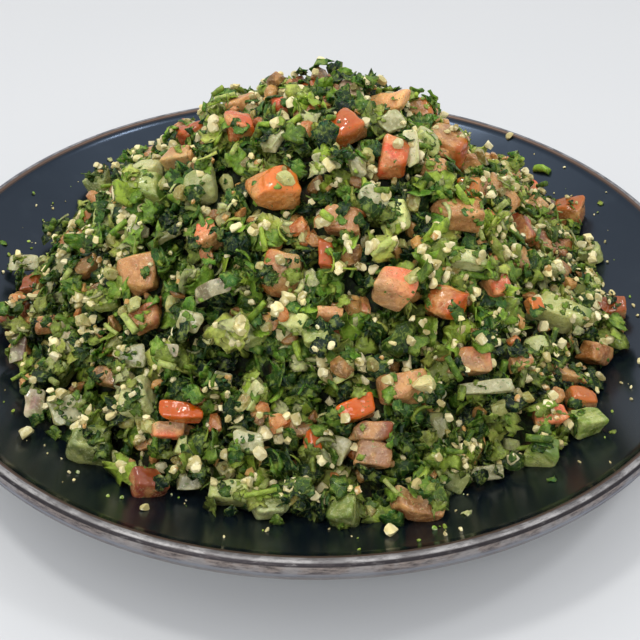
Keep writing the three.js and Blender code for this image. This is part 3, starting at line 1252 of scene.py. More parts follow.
def box_shape(corner: float = 0.32) -> tuple[Shape, Array]:
    """A block with rounded edges, each side cut into eight strips.

    Args:
        corner: The edges' radius as a share of half the block.

    Returns:
        The shape, and its (m, 3) points, within one of the middle.
    """
    half = np.array([0.0, 0.4, 1 - corner, 1 - 0.5 * corner, 1.0])
    steps = np.concatenate([-half[:0:-1], half])
    n = len(steps)
    u, v = np.meshgrid(steps, steps, indexing="ij")
    one = np.ones_like(u)
    sides = [(u, v, one), (v, u, -one), (one, u, v), (-one, v, u), (v, one, u), (u, -one, v)]
    points = np.concatenate([np.stack(side, axis=-1).reshape(-1, 3) for side in sides])
    grid = np.arange(n * n).reshape(n, n)
    a, b, c, d = grid[:-1, :-1], grid[1:, :-1], grid[1:, 1:], grid[:-1, 1:]
    two = np.concatenate([np.stack([a, b, c], -1).reshape(-1, 3), np.stack([a, c, d], -1).reshape(-1, 3)])
    flat = np.stack([u, v], axis=-1).reshape(-1, 2) * 0.5 + 0.5
    cells = [np.array([side % 3, side // 3]) for side in range(6)]
    places = np.concatenate([(cell + 0.06 + 0.88 * flat[two]) / (3, 2) for cell in cells])
    triangles = np.concatenate([two + side * n * n for side in range(6)])
    unique, number = np.unique(np.round(points, 6), axis=0, return_inverse=True)
    inner = np.clip(unique, -(1 - corner), 1 - corner)
    return Shape(number.reshape(-1)[triangles], places), inner + corner * unit(unique - inner)


@dataclass
class CutPieces:
    """Chopped pieces with flat sides: dice, slabs and chips."""

    name: str
    finish: DiceFinish
    seed: int
    partners: Palette  # the colours that a piece's own may run into
    cuts: int = 3  # how many corners are cut off
    skew: float = 0.29  # how far a corner may lie from its true place, as a share of half the piece
    bulge: float = 0.1  # how far a side with skin swells
    dent: float = 0.18  # the depth of the uneven cut, in millimetres
    bend: float = 0.0  # how far the ends sag, as a share of half the length
    planes: Pair = (0.82, 1.2)  # how far from the middle the cuts are
    painted_edge_glow: Triple = (0.35, 0.6, 0.4)  # painted light: how much lighter the see-through edges are coloured

    def __post_init__(self) -> None:
        """Makes the shape that the pieces share."""
        self.shape, self.form = box_shape()
        self.lot = Lot(self.name, self.shape)
        self.herby: list[Array] = []
        self.rng = np.random.default_rng(self.seed)

    def grounds(self) -> Array:
        """What each triangle is to pieces that land on it."""
        herby = np.repeat(np.concatenate(self.herby), len(self.shape.triangles))
        return np.where(herby, Ground.HERBY_DICE.value, Ground.DICE.value)

    def add(self, middles: Array, frames: Array, sizes: Array, tints: Array, peels: Array,
            herby: Array) -> None:
        """Cuts pieces and puts them down.

        Args:
            middles: (n, 3) places.
            frames: (n, 3, 3) axes.
            sizes: (n, 3) sizes.
            tints: (n, 3) colours.
            peels: (n,) values of Peel.
            herby: (n,) which are covered with herbs.
        """
        self.herby.append(herby)
        flat = self.form
        form = np.broadcast_to(flat, (len(middles), *flat.shape)).copy()
        corners = self.rng.uniform(-self.skew, self.skew, (len(middles), 2, 2, 2, 3))
        weights = np.stack([(1 - flat) / 2, (1 + flat) / 2], axis=0)
        for i, j, k in np.ndindex(2, 2, 2):
            weight = weights[i, :, 0] * weights[j, :, 1] * weights[k, :, 2]
            form += weight[None, :, None] * corners[:, None, i, j, k]
        form = planed(form, self.rng, self.cuts, *self.planes)
        skins = np.zeros(form.shape[:2])
        for peel, axis in ((Peel.TOP, 2), (Peel.SIDE, 0)):
            has_skin = (peels == peel.value)[:, None]
            crown = (1 - flat[:, 1] ** 2) * (1 - flat[:, 2 - axis] ** 2)
            form[..., axis] += has_skin * self.bulge * crown * (flat[:, axis] > 0)
            skins += has_skin * smooth_step(flat[:, axis], 0.55, 0.9)
        form[..., 2] -= self.bend * form[..., 0] ** 2
        placed = set_down(form * (sizes / 2)[:, None], frames, middles)
        outward = unit(placed - middles[:, None, :])
        placed += outward * (Ripples(self.seed, 3.2, 8.0).at(placed) * self.dent)[..., None]
        self.lot.add(placed, self._run(tints, skins), skins)

    def _run(self, tints: Array, skins: Array) -> Array:
        """Colours that run from one side of each piece to the other, less so on its skin, with painted light
        on the see-through edges.

        Args:
            tints: (n, 3) the pieces' own colours.
            skins: (n, m) where their points are skin, from 0 to 1.

        Returns:
            (n, m, 3) the colours of their points.
        """
        count = len(tints)
        way = unit(self.rng.normal(size=(count, 3)))
        along = smooth_step(np.einsum("mi,ni->nm", self.form, way), -0.6, 0.8)
        along = along * self.rng.uniform(0.4, 0.95, (count, 1)) * (1 - 0.75 * skins)
        partner = np.array(self.partners)[self.rng.integers(0, len(self.partners), count)]
        partner = partner * (0.3 + 0.7 * tints[:, 1:2] / partner[:, 1:2])
        run = tints[:, None] * (1 - along[..., None]) + partner[:, None] * along[..., None]
        # Painted light: the edges are coloured lighter, as where light shines through them.
        edge = smooth_step(np.sort(np.abs(self.form), axis=1)[:, 1], 0.66, 0.96)
        edge = edge[None] * self.rng.uniform(0.1, 0.7, (count, 1))
        return run * (1 + edge[..., None] * self.painted_edge_glow)


@dataclass
class Frills:
    """Bits of curly herb: small crumpled discs with a ragged edge, thick in the middle."""

    name: str
    seed: int
    spokes: int = 16
    ragged: float = 0.3  # the depth of the notches
    ruffle: float = 0.34  # the height of the edge's waves
    long: float = 1.0  # length over width
    fold: float = -0.3  # how high the inner ring stands where the edge is one high

    def __post_init__(self) -> None:
        """Makes the shape that the bits share."""
        self.rng = np.random.default_rng(self.seed)
        turn = full_turn(self.spokes)
        disc = np.stack([np.cos(turn), np.sin(turn)], axis=1)
        flat = np.concatenate([[[0, 0]], disc * 0.55, disc, [[0, 0]]])
        triangles = fan_and_bands(2, self.spokes, (True, True))
        places = flat[triangles] * 0.5 + 0.5
        under = np.zeros(len(triangles), bool)
        under[-self.spokes:] = True
        places[..., 0] = places[..., 0] * 0.5 + 0.5 * under[:, None]
        self.lot = Lot(self.name, Shape(triangles, places))

    def grown(self, count: int) -> Array:
        """Unit bits, each with its own edge and folds.

        Args:
            count: How many.

        Returns:
            (count, m, 3) points.
        """
        rng, spokes = self.rng, self.spokes
        turn = full_turn(spokes)[None] + rng.normal(0, 0.1, (count, spokes))
        lobes = rng.integers(2, 6, (count, 1))
        notch = 0.5 + 0.5 * np.cos(lobes * turn + rng.uniform(0, 2 * np.pi, (count, 1)))
        edge = 1 - self.ragged * notch**2 * rng.uniform(0.5, 1.4, (count, spokes))
        edge = edge + rng.normal(0, 0.06, (count, spokes))
        wave = np.zeros((count, spokes))
        for turns, share in ((1, 0.5), (2, 1.0), (3, 0.9), (5, 0.5)):
            phase = rng.uniform(0, 2 * np.pi, (count, 1))
            wave += share * rng.uniform(0.3, 1, (count, 1)) * np.sin(turns * turn + phase)
        wave *= self.ruffle * 0.7
        ring = 0.55 * rng.uniform(0.85, 1.15, (count, spokes))
        inner = self.fold * wave + rng.normal(0, 0.06, (count, spokes))
        disc = np.stack([np.cos(turn) * self.long, np.sin(turn)], axis=-1)
        zero = np.zeros((count, 1, 1))
        ring_points = np.concatenate([disc * ring[..., None], inner[..., None]], axis=-1)
        edge_points = np.concatenate([disc * edge[..., None], wave[..., None]], axis=-1)
        top = np.concatenate([zero, zero, rng.normal(0.12, 0.1, (count, 1, 1))], axis=-1)
        low = np.concatenate([zero, zero, rng.normal(-0.25, 0.06, (count, 1, 1))], axis=-1)
        points = np.concatenate([top, ring_points, edge_points, low], axis=1)
        bow = rng.uniform(-0.55, 0.35, (count, 1))
        points[..., 2] += bow * points[..., 0] ** 2
        points[..., 2] += rng.uniform(-0.3, 0.3, (count, 1)) * points[..., 1] ** 2
        return points

    def add(self, middles: Array, normals: Array, radii: Array, tints: Array) -> None:
        """Puts bits down.

        Args:
            middles: (n, 3) places.
            normals: (n, 3) directions that they face.
            radii: (n,) half sizes.
            tints: (n, 3) colours.
        """
        frames = turned_frames(normals, self.rng)
        points = self.grown(len(middles)) * radii[:, None, None]
        self.lot.add(set_down(points, frames, middles), tints)


@dataclass
class Rods:
    """Short bent rods with cut ends: stems, and narrow shreds when they are flattened."""

    name: str
    seed: int
    rings: int = 5
    sides: int = 6
    bend: float = 0.5  # how far the ends may lie aside, as a share of half the length

    def __post_init__(self) -> None:
        """Makes the rod that all are bent from, and the shape that they share."""
        self.rng = np.random.default_rng(self.seed)
        along = np.repeat(np.linspace(-1, 1, self.rings), self.sides)
        turn = np.tile(full_turn(self.sides), self.rings)
        body = np.stack([along, np.cos(turn), np.sin(turn)], axis=1)
        self.form = np.concatenate([[[-0.97, 0, 0]], body, [[0.97, 0, 0]]])
        flat = np.stack([turn / (2 * np.pi), 0.5 + 0.38 * along], axis=1)
        flat = np.concatenate([[[0.5, 0.02]], flat, [[0.5, 0.98]]])
        triangles = fan_and_bands(self.rings, self.sides, (True, True))
        places = flat[triangles]
        wraps = (places[..., 0].max(axis=1) - places[..., 0].min(axis=1)) > 0.6
        places[..., 0] += wraps[:, None] * (places[..., 0] < 0.4)
        places[..., 0] /= 1.2
        self.lot = Lot(self.name, Shape(triangles, places))

    def add(self, middles: Array, normals: Array, sizes: Array, tints: Array) -> None:
        """Puts rods down.

        Args:
            middles: (n, 3) places.
            normals: (n, 3) directions out of what they lie on.
            sizes: (n, 3) lengths, widths and thicknesses.
            tints: (n, 3) colours.
        """
        rng, form, one_each = self.rng, self.form, (len(middles), 1)
        taper = 1 - 0.25 * rng.uniform(0, 1, one_each) * (form[:, 0] > 0)
        twist = rng.uniform(-0.9, 0.9, one_each) * form[:, 0]
        half = sizes[:, None, :] / 2
        x = form[:, 0] * half[..., 0]
        y = form[:, 1] * taper * half[..., 1]
        z = form[:, 2] * taper * half[..., 2]
        cos, sin = np.cos(twist), np.sin(twist)
        reach = form[:, 0] ** 2 * half[..., 0]
        aside = cos * y - sin * z + rng.uniform(-self.bend, self.bend, one_each) * reach
        above = sin * y + cos * z + rng.uniform(-0.7 * self.bend, 0.25 * self.bend, one_each) * reach
        points = np.stack([x, aside, above], axis=-1)
        self.lot.add(set_down(points, turned_frames(normals, rng), middles), tints)


@dataclass
class Chunks:
    """Small lumps cut by a few planes: cracked grains, and bits of what is chopped."""

    name: str
    seed: int
    cuts: int = 7
    block: float = 0.0  # the distance of six square cuts from the middle, 0 for none
    fine: bool = True  # a ball of 80 triangles, and not of 20
    planes: Pair = (0.42, 0.74)  # how far from the middle the cuts are

    def __post_init__(self) -> None:
        """Makes the shape that the lumps share."""
        self.rng = np.random.default_rng(self.seed)
        self.form, triangles = self._ball(self.fine)
        middles = self.form[triangles].mean(axis=1)
        places = self.form[triangles][..., :2] * 0.46 + 0.5
        places[..., 0] = places[..., 0] * 0.5 + 0.5 * (middles[:, 2] < 0)[:, None]
        self.lot = Lot(self.name, Shape(triangles, places, False))

    @staticmethod
    def _ball(fine: bool) -> tuple[Array, Array]:
        """A ball of triangles.

        Args:
            fine: Whether it has 80, and not 20.

        Returns:
            Its points and triangles.
        """
        g = (1 + 5**0.5) / 2
        corners = [(-1, g, 0), (1, g, 0), (-1, -g, 0), (1, -g, 0), (0, -1, g), (0, 1, g)]
        corners += [(0, -1, -g), (0, 1, -g), (g, 0, -1), (g, 0, 1), (-g, 0, -1), (-g, 0, 1)]
        faces = [(0, 11, 5), (0, 5, 1), (0, 1, 7), (0, 7, 10), (0, 10, 11), (1, 5, 9), (5, 11, 4)]
        faces += [(11, 10, 2), (10, 7, 6), (7, 1, 8), (3, 9, 4), (3, 4, 2), (3, 2, 6), (3, 6, 8)]
        faces += [(3, 8, 9), (4, 9, 5), (2, 4, 11), (6, 2, 10), (8, 6, 7), (9, 8, 1)]
        points = [unit(np.array(corner, float)) for corner in corners]
        if not fine:
            return np.array(points), np.array(faces)
        halves: dict[tuple[int, int], int] = {}

        def half(a: int, b: int) -> int:
            """The number of the point halfway between two.

            Args:
                a: The number of one.
                b: The number of the other.

            Returns:
                The number.
            """
            key = (min(a, b), max(a, b))
            if key not in halves:
                halves[key] = len(points)
                points.append(unit(points[a] + points[b]))
            return halves[key]

        triangles = []
        for a, b, c in faces:
            ab, bc, ca = half(a, b), half(b, c), half(c, a)
            triangles += [(a, ab, ca), (b, bc, ab), (c, ca, bc), (ab, bc, ca)]
        return np.array(points), np.array(triangles)

    def add(self, middles: Array, normals: Array, sizes: Array, tints: Array) -> None:
        """Puts lumps down.

        Args:
            middles: (n, 3) places.
            normals: (n, 3) directions out of what they lie on.
            sizes: (n, 3) sizes.
            tints: (n, 3) colours.
        """
        count, rng = len(middles), self.rng
        form = self.form * rng.normal(1, 0.05, (count, len(self.form), 1))
        if self.block:
            limits = self.block * rng.uniform(0.8, 1.15, (count, 1, 3))
            form = np.clip(form * 1.2, -limits, limits)
        form = planed(form, rng, self.cuts, *self.planes)
        frames = turned_frames(unit(normals + rng.normal(0, 0.45, (count, 3))), rng)
        self.lot.add(set_down(form * (sizes / 2)[:, None], frames, middles), tints)


# ------------------------------------------------------------------ the heap


# across, down, width, height, tone, turn, proud, peel
TOMATO_PLACES = landmarks(
    (274, 187, 51, 44, Tone.ORANGE, 6, 8.0, Peel.TOP), (344, 127, 38, 42, Tone.RED, 40, 7.5, Peel.TOP),
    (393, 158, 30, 48, Tone.RED, -8, 7.0, Peel.SIDE), (394, 97, 42, 28, Tone.AMBER, 4, 7.5),
    (417, 111, 36, 30, Tone.SALMON, 20, 6.4, Peel.SIDE), (446, 146, 40, 45, Tone.BRICK, -35, 7.5, Peel.SIDE),
    (435, 174, 30, 30, Tone.BROWN, 15, 5.6), (189, 135, 40, 22, Tone.BRICK, -4, 7.0, Peel.TOP),
    (240, 127, 28, 34, Tone.RED, 10, 7.0, Peel.SIDE), (242, 106, 32, 24, Tone.SALMON, 18, 6.5),
    (178, 158, 32, 26, Tone.SALMON, 0), (458, 214, 50, 40, Tone.SALMON, 12, 6.6),
    (393, 288, 45, 40, Tone.PINK, -12, 7.5), (444, 301, 38, 45, Tone.RED, -28, 7.5, Peel.SIDE),
    (471, 361, 48, 36, Tone.PINK, 5, 7.0), (327, 257, 16, 38, Tone.BRICK, 4, 7.0, Peel.TOP),
    (342, 223, 38, 36, Tone.SALMON, -10, 6.2), (35, 286, 22, 33, Tone.BRICK, 8, 6.6, Peel.TOP),
    (147, 318, 30, 26, Tone.BRICK, 20, 5.4), (182, 412, 46, 24, Tone.EMBER, -4, 7.4, Peel.TOP),
    (169, 431, 40, 22, Tone.PINK, 6, 6.0), (147, 485, 40, 33, Tone.ROSE, 18, 7.0, Peel.TOP),
    (313, 441, 17, 30, Tone.EMBER, 10, 7.4, Peel.TOP), (355, 409, 42, 28, Tone.EMBER, 24, 7.6, Peel.TOP),
    (371, 431, 42, 24, Tone.ROSE, -4, 6.6, Peel.SIDE), (373, 455, 40, 40, Tone.PINK, -6, 7.4),
    (402, 388, 45, 38, Tone.SALMON, 10, 7.2), (581, 399, 32, 28, Tone.ORANGE, 4, 7.0, Peel.TOP),
    (549, 417, 33, 28, Tone.SALMON, 16), (610, 309, 28, 28, Tone.BRICK, 0, 6.4, Peel.TOP),
    (534, 305, 18, 18, Tone.ORANGE, 20, 6.4, Peel.TOP), (416, 508, 50, 30, Tone.SALMON, -24, 5.6),
    (556, 250, 30, 34, Tone.SALMON, -20, 6.4, Peel.SIDE), (514, 206, 22, 16, Tone.BRICK, -10, 6.2, Peel.TOP),
    (497, 285, 22, 38, Tone.BROWN, 20), (300, 428, 24, 30, Tone.BROWN, 12, 5.4, Peel.SIDE),
    (109, 378, 34, 26, Tone.BROWN, -16, 5.6), (46, 326, 22, 20, Tone.SALMON, 10),
    (207, 236, 30, 34, Tone.BROWN, 28, 5.8), (520, 362, 26, 20, Tone.SALMON, 18),
    (565, 372, 28, 24, Tone.BROWN, -12, 5.6), (516, 262, 24, 34, Tone.BROWN, 10, 5.6),
    (88, 268, 26, 26, Tone.BROWN, 30, 5.4), (330, 313, 30, 16, Tone.PINK, -8, 5.6),
    (283, 105, 24, 22, Tone.BRICK, 12, 6.0, Peel.SIDE), (468, 133, 18, 20, Tone.BRICK, 0, 6.0),
)

CUCUMBER_PLACES = landmarks(
    (201, 187, 35, 40, Tone.MOSS, 12, 6.8), (147, 190, 50, 40, Tone.MOSS, -16, 6.8, Peel.SIDE),
    (140, 161, 38, 30, Tone.CREAM, 10, 6.8), (68, 238, 28, 34, Tone.PALE, 12, 6.6, Peel.SIDE),
    (231, 492, 46, 36, Tone.PALE, -12, 6.4), (272, 507, 42, 32, Tone.LIME, 14, 6.2),
    (555, 313, 56, 42, Tone.PALE, -22, 7.6, Peel.SIDE), (466, 259, 44, 24, Tone.PALE, -6, 7.4, Peel.SIDE),
    (585, 424, 32, 32, Tone.LIME, 20, 6.0), (318, 336, 32, 26, Tone.MOSS, 8, 6.4),
    (296, 322, 30, 22, Tone.PALE, -18, 6.0), (106, 302, 30, 26, Tone.LIME, 0, 5.6),
    (340, 372, 34, 26, Tone.PALE, 22, 6.0), (190, 448, 34, 28, Tone.PALE, -10, 5.8),
    (440, 372, 30, 34, Tone.LIME, 32, 5.8),
)

ONION_PLACES = landmarks(
    (350, 87, 24, 36, Tone.WHITE, 12, 8.0), (131, 357, 28, 22, Tone.GREY, 8, 6.4),
    (67, 410, 42, 28, Tone.WHITE, 18, 6.6), (34, 403, 18, 34, Tone.WHITE, 4, 6.4),
    (214, 288, 44, 16, Tone.PURPLE, 24, 7.0), (169, 350, 20, 14, Tone.PURPLE, -10, 6.4),
    (18, 350, 16, 26, Tone.PURPLE, 8, 6.0), (190, 322, 26, 22, Tone.GREY, -20, 6.0),
    (190, 481, 30, 20, Tone.GREY, 4, 6.2), (393, 121, 26, 24, Tone.GREY, 30, 6.6),
    (326, 162, 26, 20, Tone.GREY, 16, 6.6), (487, 386, 58, 14, Tone.WHITE, 6, 7.4),
    (413, 148, 14, 34, Tone.CREAM, 8, 7.0), (250, 442, 30, 20, Tone.WHITE, -14, 6.4),
    (372, 198, 26, 28, Tone.GREY, 22, 6.4), (486, 490, 30, 16, Tone.GREY, 4, 5.6),
)


CUT_LOSS = 1.35  # a lump's size before its sides are cut, over its size after


@dataclass(frozen=True)
class Landing:
    """Where pieces have landed."""

    places: Array
    normals: Array  # the form's directions there
    faces: Array  # the directions of what they landed on
    on_dice: Array  # which of them lie on dice


@dataclass(frozen=True)
class TuftLayer:
    """A layer of tufts of curly herb."""

    count: int
    bits: int  # in each tuft
    radius: Pair
    share: Pair  # a bit's half size over the tuft's radius
    height: Pair  # how far they stand out
    chances: tuple[float, ...]  # the share that stays on each of the grounds
    colours: Palette
    patchy: float = 0.0


@dataclass
class Heap:
    """The tabbouleh: a dark core, dice and chips on it, then herbs and grains, layer upon layer."""

    mound: Mound
    viewpoint: Viewpoint
    core_depth: float = 3.2  # how far the core lies inside the form
    core_rings: int = 76
    core_around: int = 216
    core_relief: tuple[tuple[Ripples, float], ...] = (
        (Ripples(5, 4.0, 11.0, 40), 0.9), (Ripples(6, 2.2, 4.5, 40), 0.5),
    )
    foot_step: float = 0.985  # the first ring under the core's foot, as a share of it
    foot_rings: tuple[float, ...] = (0.86, 0.62, 0.4, 0.2)  # the rings below that one
    foot_inset: float = 0.035  # how far the core's foot draws in, as a share of its radius
    map_width: float = 240.0  # what the core's flat map takes in
    # Only the deep greens colour the low layer: painted shade deep among the pieces.
    low_tufts: TuftLayer = TuftLayer(
        800, 4, radius=(2.8, 4.6), share=(0.6, 1.0), height=(0.0, 2.6),
        chances=(1.0, 0.0, 1.0, 1.0, 0.0), colours=DEEP_GREENS,
    )
    high_tufts: TuftLayer = TuftLayer(
        820, 4, radius=(2.4, 4.2), share=(0.65, 1.1), height=(-1.4, 1.2),
        chances=(1.0, 0.05, 1.0, 0.3, 0.7), colours=DEEP_GREENS + LEAF_GREENS, patchy=0.6,
    )
    more_tomatoes: int = 84
    more_cucumbers: int = 46
    more_onions: int = 40
    between_landmarks: float = 0.5  # the share of other pieces that lie among the landmarks
    landmark_share: float = 0.9  # a landmark's sides, as a share of the outline that it shows
    sight: float = 600.0  # how far the line to a landmark is followed
    passing: Pair = (120.0, 330.0)  # where such a line may pass the form
    chip_thickness: float = 0.2  # over a chip's mean side
    bare_share: Pair = (0.25, 0.2)  # of a landmark's sides that is open: plain ones, herby ones
    tint_range: Pair = (0.92, 1.05)
    clearance: float = 0.3  # from the plate
    patches: Ripples = Ripples(61, 14.0, 34.0, 12)  # where the herb is lighter and darker
    patch_depth: float = 0.3
    lightest: float = 0.16  # how much lighter it may get
    masses: Ripples = Ripples(64, 7.0, 18.0, 16)  # where deep and bright greens gather
    mass_band: Pair = (-1.7, 1.7)
    crowds: Ripples = Ripples(62, 14.0, 34.0, 12)  # where lumps gather
    crowd_band: Pair = (-1.6, 0.6)
    massed_band: Pair = (0.1, 0.6)  # the mass from which light herbs gather, and where all stay
    group_spread: float = 0.035  # how far the pieces of a group lie apart
    collar_depth: float = 60.0  # how far below the plate's foot the point lies that pieces face away from
    small_bit: float = 2.3  # bits of less than this half size may lie on open sides too
    drop: float = 40.0  # how far above the form the pieces start to fall
    crest: float = 82.0  # no loose piece lands above this height
    painted_foot_shade: float = 0.45  # painted shade: how much darker the pieces at the foot are coloured, as the heap's lower band lies in shade
    foot_band: Pair = (16.0, 50.0)  # the heights between which they get lighter, as the painted shade fades
    bared: float = 0.7  # the share of herbs kept off a landmark's open side
    bare_middle: float = 0.9  # how much of an open side that is
    shadow: float = 40.0  # how far before an open side they are kept off
    seed: int = 71

    def __post_init__(self) -> None:
        """Sets out the kinds of piece."""
        self.rng = np.random.default_rng(self.seed)
        self.pile = Pile()
        self.taken: list[tuple[float, ...]] = []  # x, y, z and reach of the cut pieces
        self.bare: list[tuple[float, ...]] = []  # the same of the landmarks' open sides
        self.tomatoes = CutPieces("tomato_dice", TOMATO, 11, TOMATO_PARTNERS)
        self.cucumbers = CutPieces("cucumber_dice", CUCUMBER, 12, CUCUMBER_PARTNERS)
        self.onions = CutPieces("onion_chips", ONION, 13, ONION_PARTNERS, skew=0.32, dent=0.16, bend=0.3)
        self.dark_frills = Frills("dark_parsley", 21)
        self.leaf_frills = Frills("curly_parsley", 27)
        self.bright_frills = Frills(
            "bright_parsley", 22, spokes=12, ragged=0.32, ruffle=0.42, long=1.3, fold=0.2
        )
        self.leaflets = Frills("parsley_leaves", 23, spokes=18, ragged=0.4, long=1.35, fold=0.45)
        self.flecks = Frills("parsley_flecks", 30, spokes=8, ruffle=0.16, long=1.3, fold=0.4)
        self.shreds = Rods("parsley_shreds", 24, sides=4)
        self.stems = Rods("cut_stems", 25, sides=8, bend=0.08)
        self.grains = Chunks("bulgur", 26, cuts=5, block=0.8)
        self.small_grains = Chunks("small_bulgur", 31, cuts=3, block=0.66, fine=False)
        self.tomato_bits = Chunks("tomato_bits", 28, cuts=9)
        self.pale_bits = Chunks("cucumber_bits", 29, cuts=9)

    # -------------------------------------------------------------- the core

    def _core(self) -> None:
        """Makes the core and starts the pile with it."""
        rings, around = self.core_rings, self.core_around
        share, bearing = self.mound.grid(np.linspace(0, 1, rings + 1)[1:], around)
        points, normals = self.mound.point(share, bearing), self.mound.normal(share, bearing)
        points = points - normals * (self.core_depth * (1 - 0.6 * share**8))[..., None]
        relief = sum(ripples.at(points) * depth for ripples, depth in self.core_relief)
        points = points + normals * (relief * (1 - share**10))[..., None]
        points[..., :2] *= (1 - self.foot_inset * share**12)[..., None]
        points = self._above_plate(points)
        top = self.mound.point(np.array(0.0), np.array(0.0))[None] - [[0, 0, self.core_depth]]
        foot = self._above_plate(points[-1] * (self.foot_step, self.foot_step, 1))
        under = [self._above_plate(foot * (radius, radius, 0)) for radius in self.foot_rings]
        low = [[0.0, 0.0, self.mound.plate.floor_height + self.clearance]]
        points = np.concatenate([top, points.reshape(-1, 3), foot, *under, low])
        triangles = fan_and_bands(rings + 1 + len(under), around, (True, True))
        made = mesh_object("heap_core", points, triangles, self._core_map(points, triangles))
        log.info("heap_core: %d triangles", len(triangles))
        # The core's near-black finish is painted shade, seen in the gaps between the pieces.
        dress(made, MashFinish().make(), "salad")
        self.pile.add(points, triangles, Ground.CORE)

    def _core_map(self, points: Array, triangles: Array) -> Array:
        """The core's flat map: its upper side and its underside as two discs.

        Args:
            points: Its points.
            triangles: Its triangles.

        Returns:
            (t, 3, 2) places.
        """
        flat = points[triangles][..., :2] / self.map_width + 0.5
        upper = triangles.min(axis=1) < 1 + (self.core_rings - 1) * self.core_around
        flat[..., 0] = flat[..., 0] * 0.5 + np.where(upper, 0.0, 0.5)[:, None]
        return flat

    def _above_plate(self, points: Array, reach: Union[float, Array] = 0.0) -> Array:
        """Places moved up until they clear the plate by a reach."""
        floor = self.mound.plate.height(np.hypot(points[..., 0], points[..., 1])) + self.clearance + reach
        return np.concatenate([points[..., :2], np.maximum(points[..., 2], floor)[..., None]], axis=-1)

    # -------------------------------------------------------------- dice and chips

    def _aim(self, way: Array, tree: BVHTree) -> tuple[Array, Array]:
        """Where a line of sight meets the form, or comes closest to it.

        Args:
            way: The line's direction.
            tree: The form without pieces.

        Returns:
            The place, and the direction out of the form there.
        """
        start = self.viewpoint.stand()
        hit, normal, _, _ = tree.ray_cast(start.tolist(), way.tolist(), self.sight)
        if hit is None:
            tries = [start + way * t for t in np.linspace(*self.passing, 60)]
            nearest = [tree.find_nearest(place.tolist()) for place in tries]
            hit, normal, _, _ = min(nearest, key=lambda found: found[3])
        normal = unit(np.array(normal))
        return np.array(hit), normal if normal @ way < 0 else -normal

    def _place_landmark(self, mark: Landmark, tree: BVHTree, chip: bool, kind: CutPieces) -> None:
        """Puts a piece where its pixel looks.

        Args:
            mark: The piece.
            tree: The form without pieces.
            chip: Whether it is a thin chip that faces the pixel.
            kind: The kind that it belongs to.
        """
        way = self.viewpoint.line(mark.across, mark.down)
        hit, normal = self._aim(way, tree)
        scale = self.viewpoint.scale_at(hit)
        length, width = mark.width / scale, mark.height / scale
        right, up, _ = self.viewpoint.axes()
        if chip:
            thick = self.chip_thickness * (length + width) / 2
            z = unit(normal * 0.5 - way * 0.7 + self.rng.normal(0, 0.14, 3))
        else:
            width = thick = 0.74 * width + 0.06 * length
            z = unit(normal * 0.45 - way * 0.3 + [0, 0, 0.5] + self.rng.normal(0, 0.12, 3))
        middle = hit - way * (mark.proud - thick / 2) / max(float(-way @ normal), 0.5)
        angle = math.radians(mark.turn)
        x = right * math.cos(angle) + up * math.sin(angle)
        x = unit(x - z * (x @ z))
        axes = np.stack([x, np.cross(z, x), z], axis=-1)
        size = np.array([length, width, thick]) * self.landmark_share
        middle = self._clear(middle, size)
        # The landmark's colour carries the painted shade at the heap's foot.
        tint = np.array(mark.tone.value) * self.rng.uniform(*self.tint_range) * self._painted_shade(middle[2])
        herby = mark.tone in HERBY_TONES
        peels = np.array([mark.peel.value])
        kind.add(middle[None], axes[None], size[None], tint[None], peels, np.array([herby]))
        self.taken.append((*middle, max(length, width) / 2))
        self.bare.append((*middle, self.bare_share[herby] * (length + width)))

    def _clear(self, middles: Array, sizes: Array) -> Array:
        """Places of cut pieces of these sizes, moved up until they clear the plate."""
        return self._above_plate(middles, 0.5 * np.sort(sizes, axis=-1)[..., :2].mean(axis=-1))

    def _more(self, kind: CutPieces, count: int, mean: Triple, tones: tuple[Tone, ...],
              peeled: float, proud: Pair, herby: float = 0.5) -> None:
        """Spreads more pieces of a kind over what the landmarks leave free.

        Args:
            kind: The kind.
            count: How many.
            mean: The mean size.
            tones: The colours to draw from.
            peeled: The share of pieces with skin on.
            proud: How far their upper sides stand out of the form, lowest and highest.
            herby: The share of pieces covered with herbs.
        """
        rng = self.rng
        share, bearing = self.mound.spread(rng, count, np.array(self.taken))
        points, normals = self.mound.point(share, bearing), self.mound.normal(share, bearing)
        facing = np.einsum("ij,ij->i", unit(self.viewpoint.stand() - points), normals)
        kept = (facing < 0.2) | (rng.random(count) < self.between_landmarks)
        points, normals, count = points[kept], normals[kept], int(kept.sum())
        sizes = np.array(mean) * rng.lognormal(0, 0.16, (count, 1)) * rng.uniform(0.82, 1.18, (count, 3))
        lift = rng.uniform(*proud, count) - sizes[:, 2] / 2
        middles = self._clear(points + normals * lift[:, None], sizes)
        frames = turned_frames(unit(normals + rng.normal(0, 0.3, (count, 3))), rng)
        tints = np.array([tone.value for tone in tones])[rng.integers(0, len(tones), count)]
        # The colours carry the painted shade at the heap's foot.
        tints = tints * rng.uniform(0.78, 1.1, (count, 1)) * self._painted_shade(middles[:, 2:])
        peels = np.where(rng.random(count) < peeled, rng.integers(1, 3, count), 0)
        kind.add(middles, frames, sizes, tints, peels, rng.random(count) < herby)
        self.taken += [(*m, s[0] / 2) for m, s in zip(middles, sizes)]

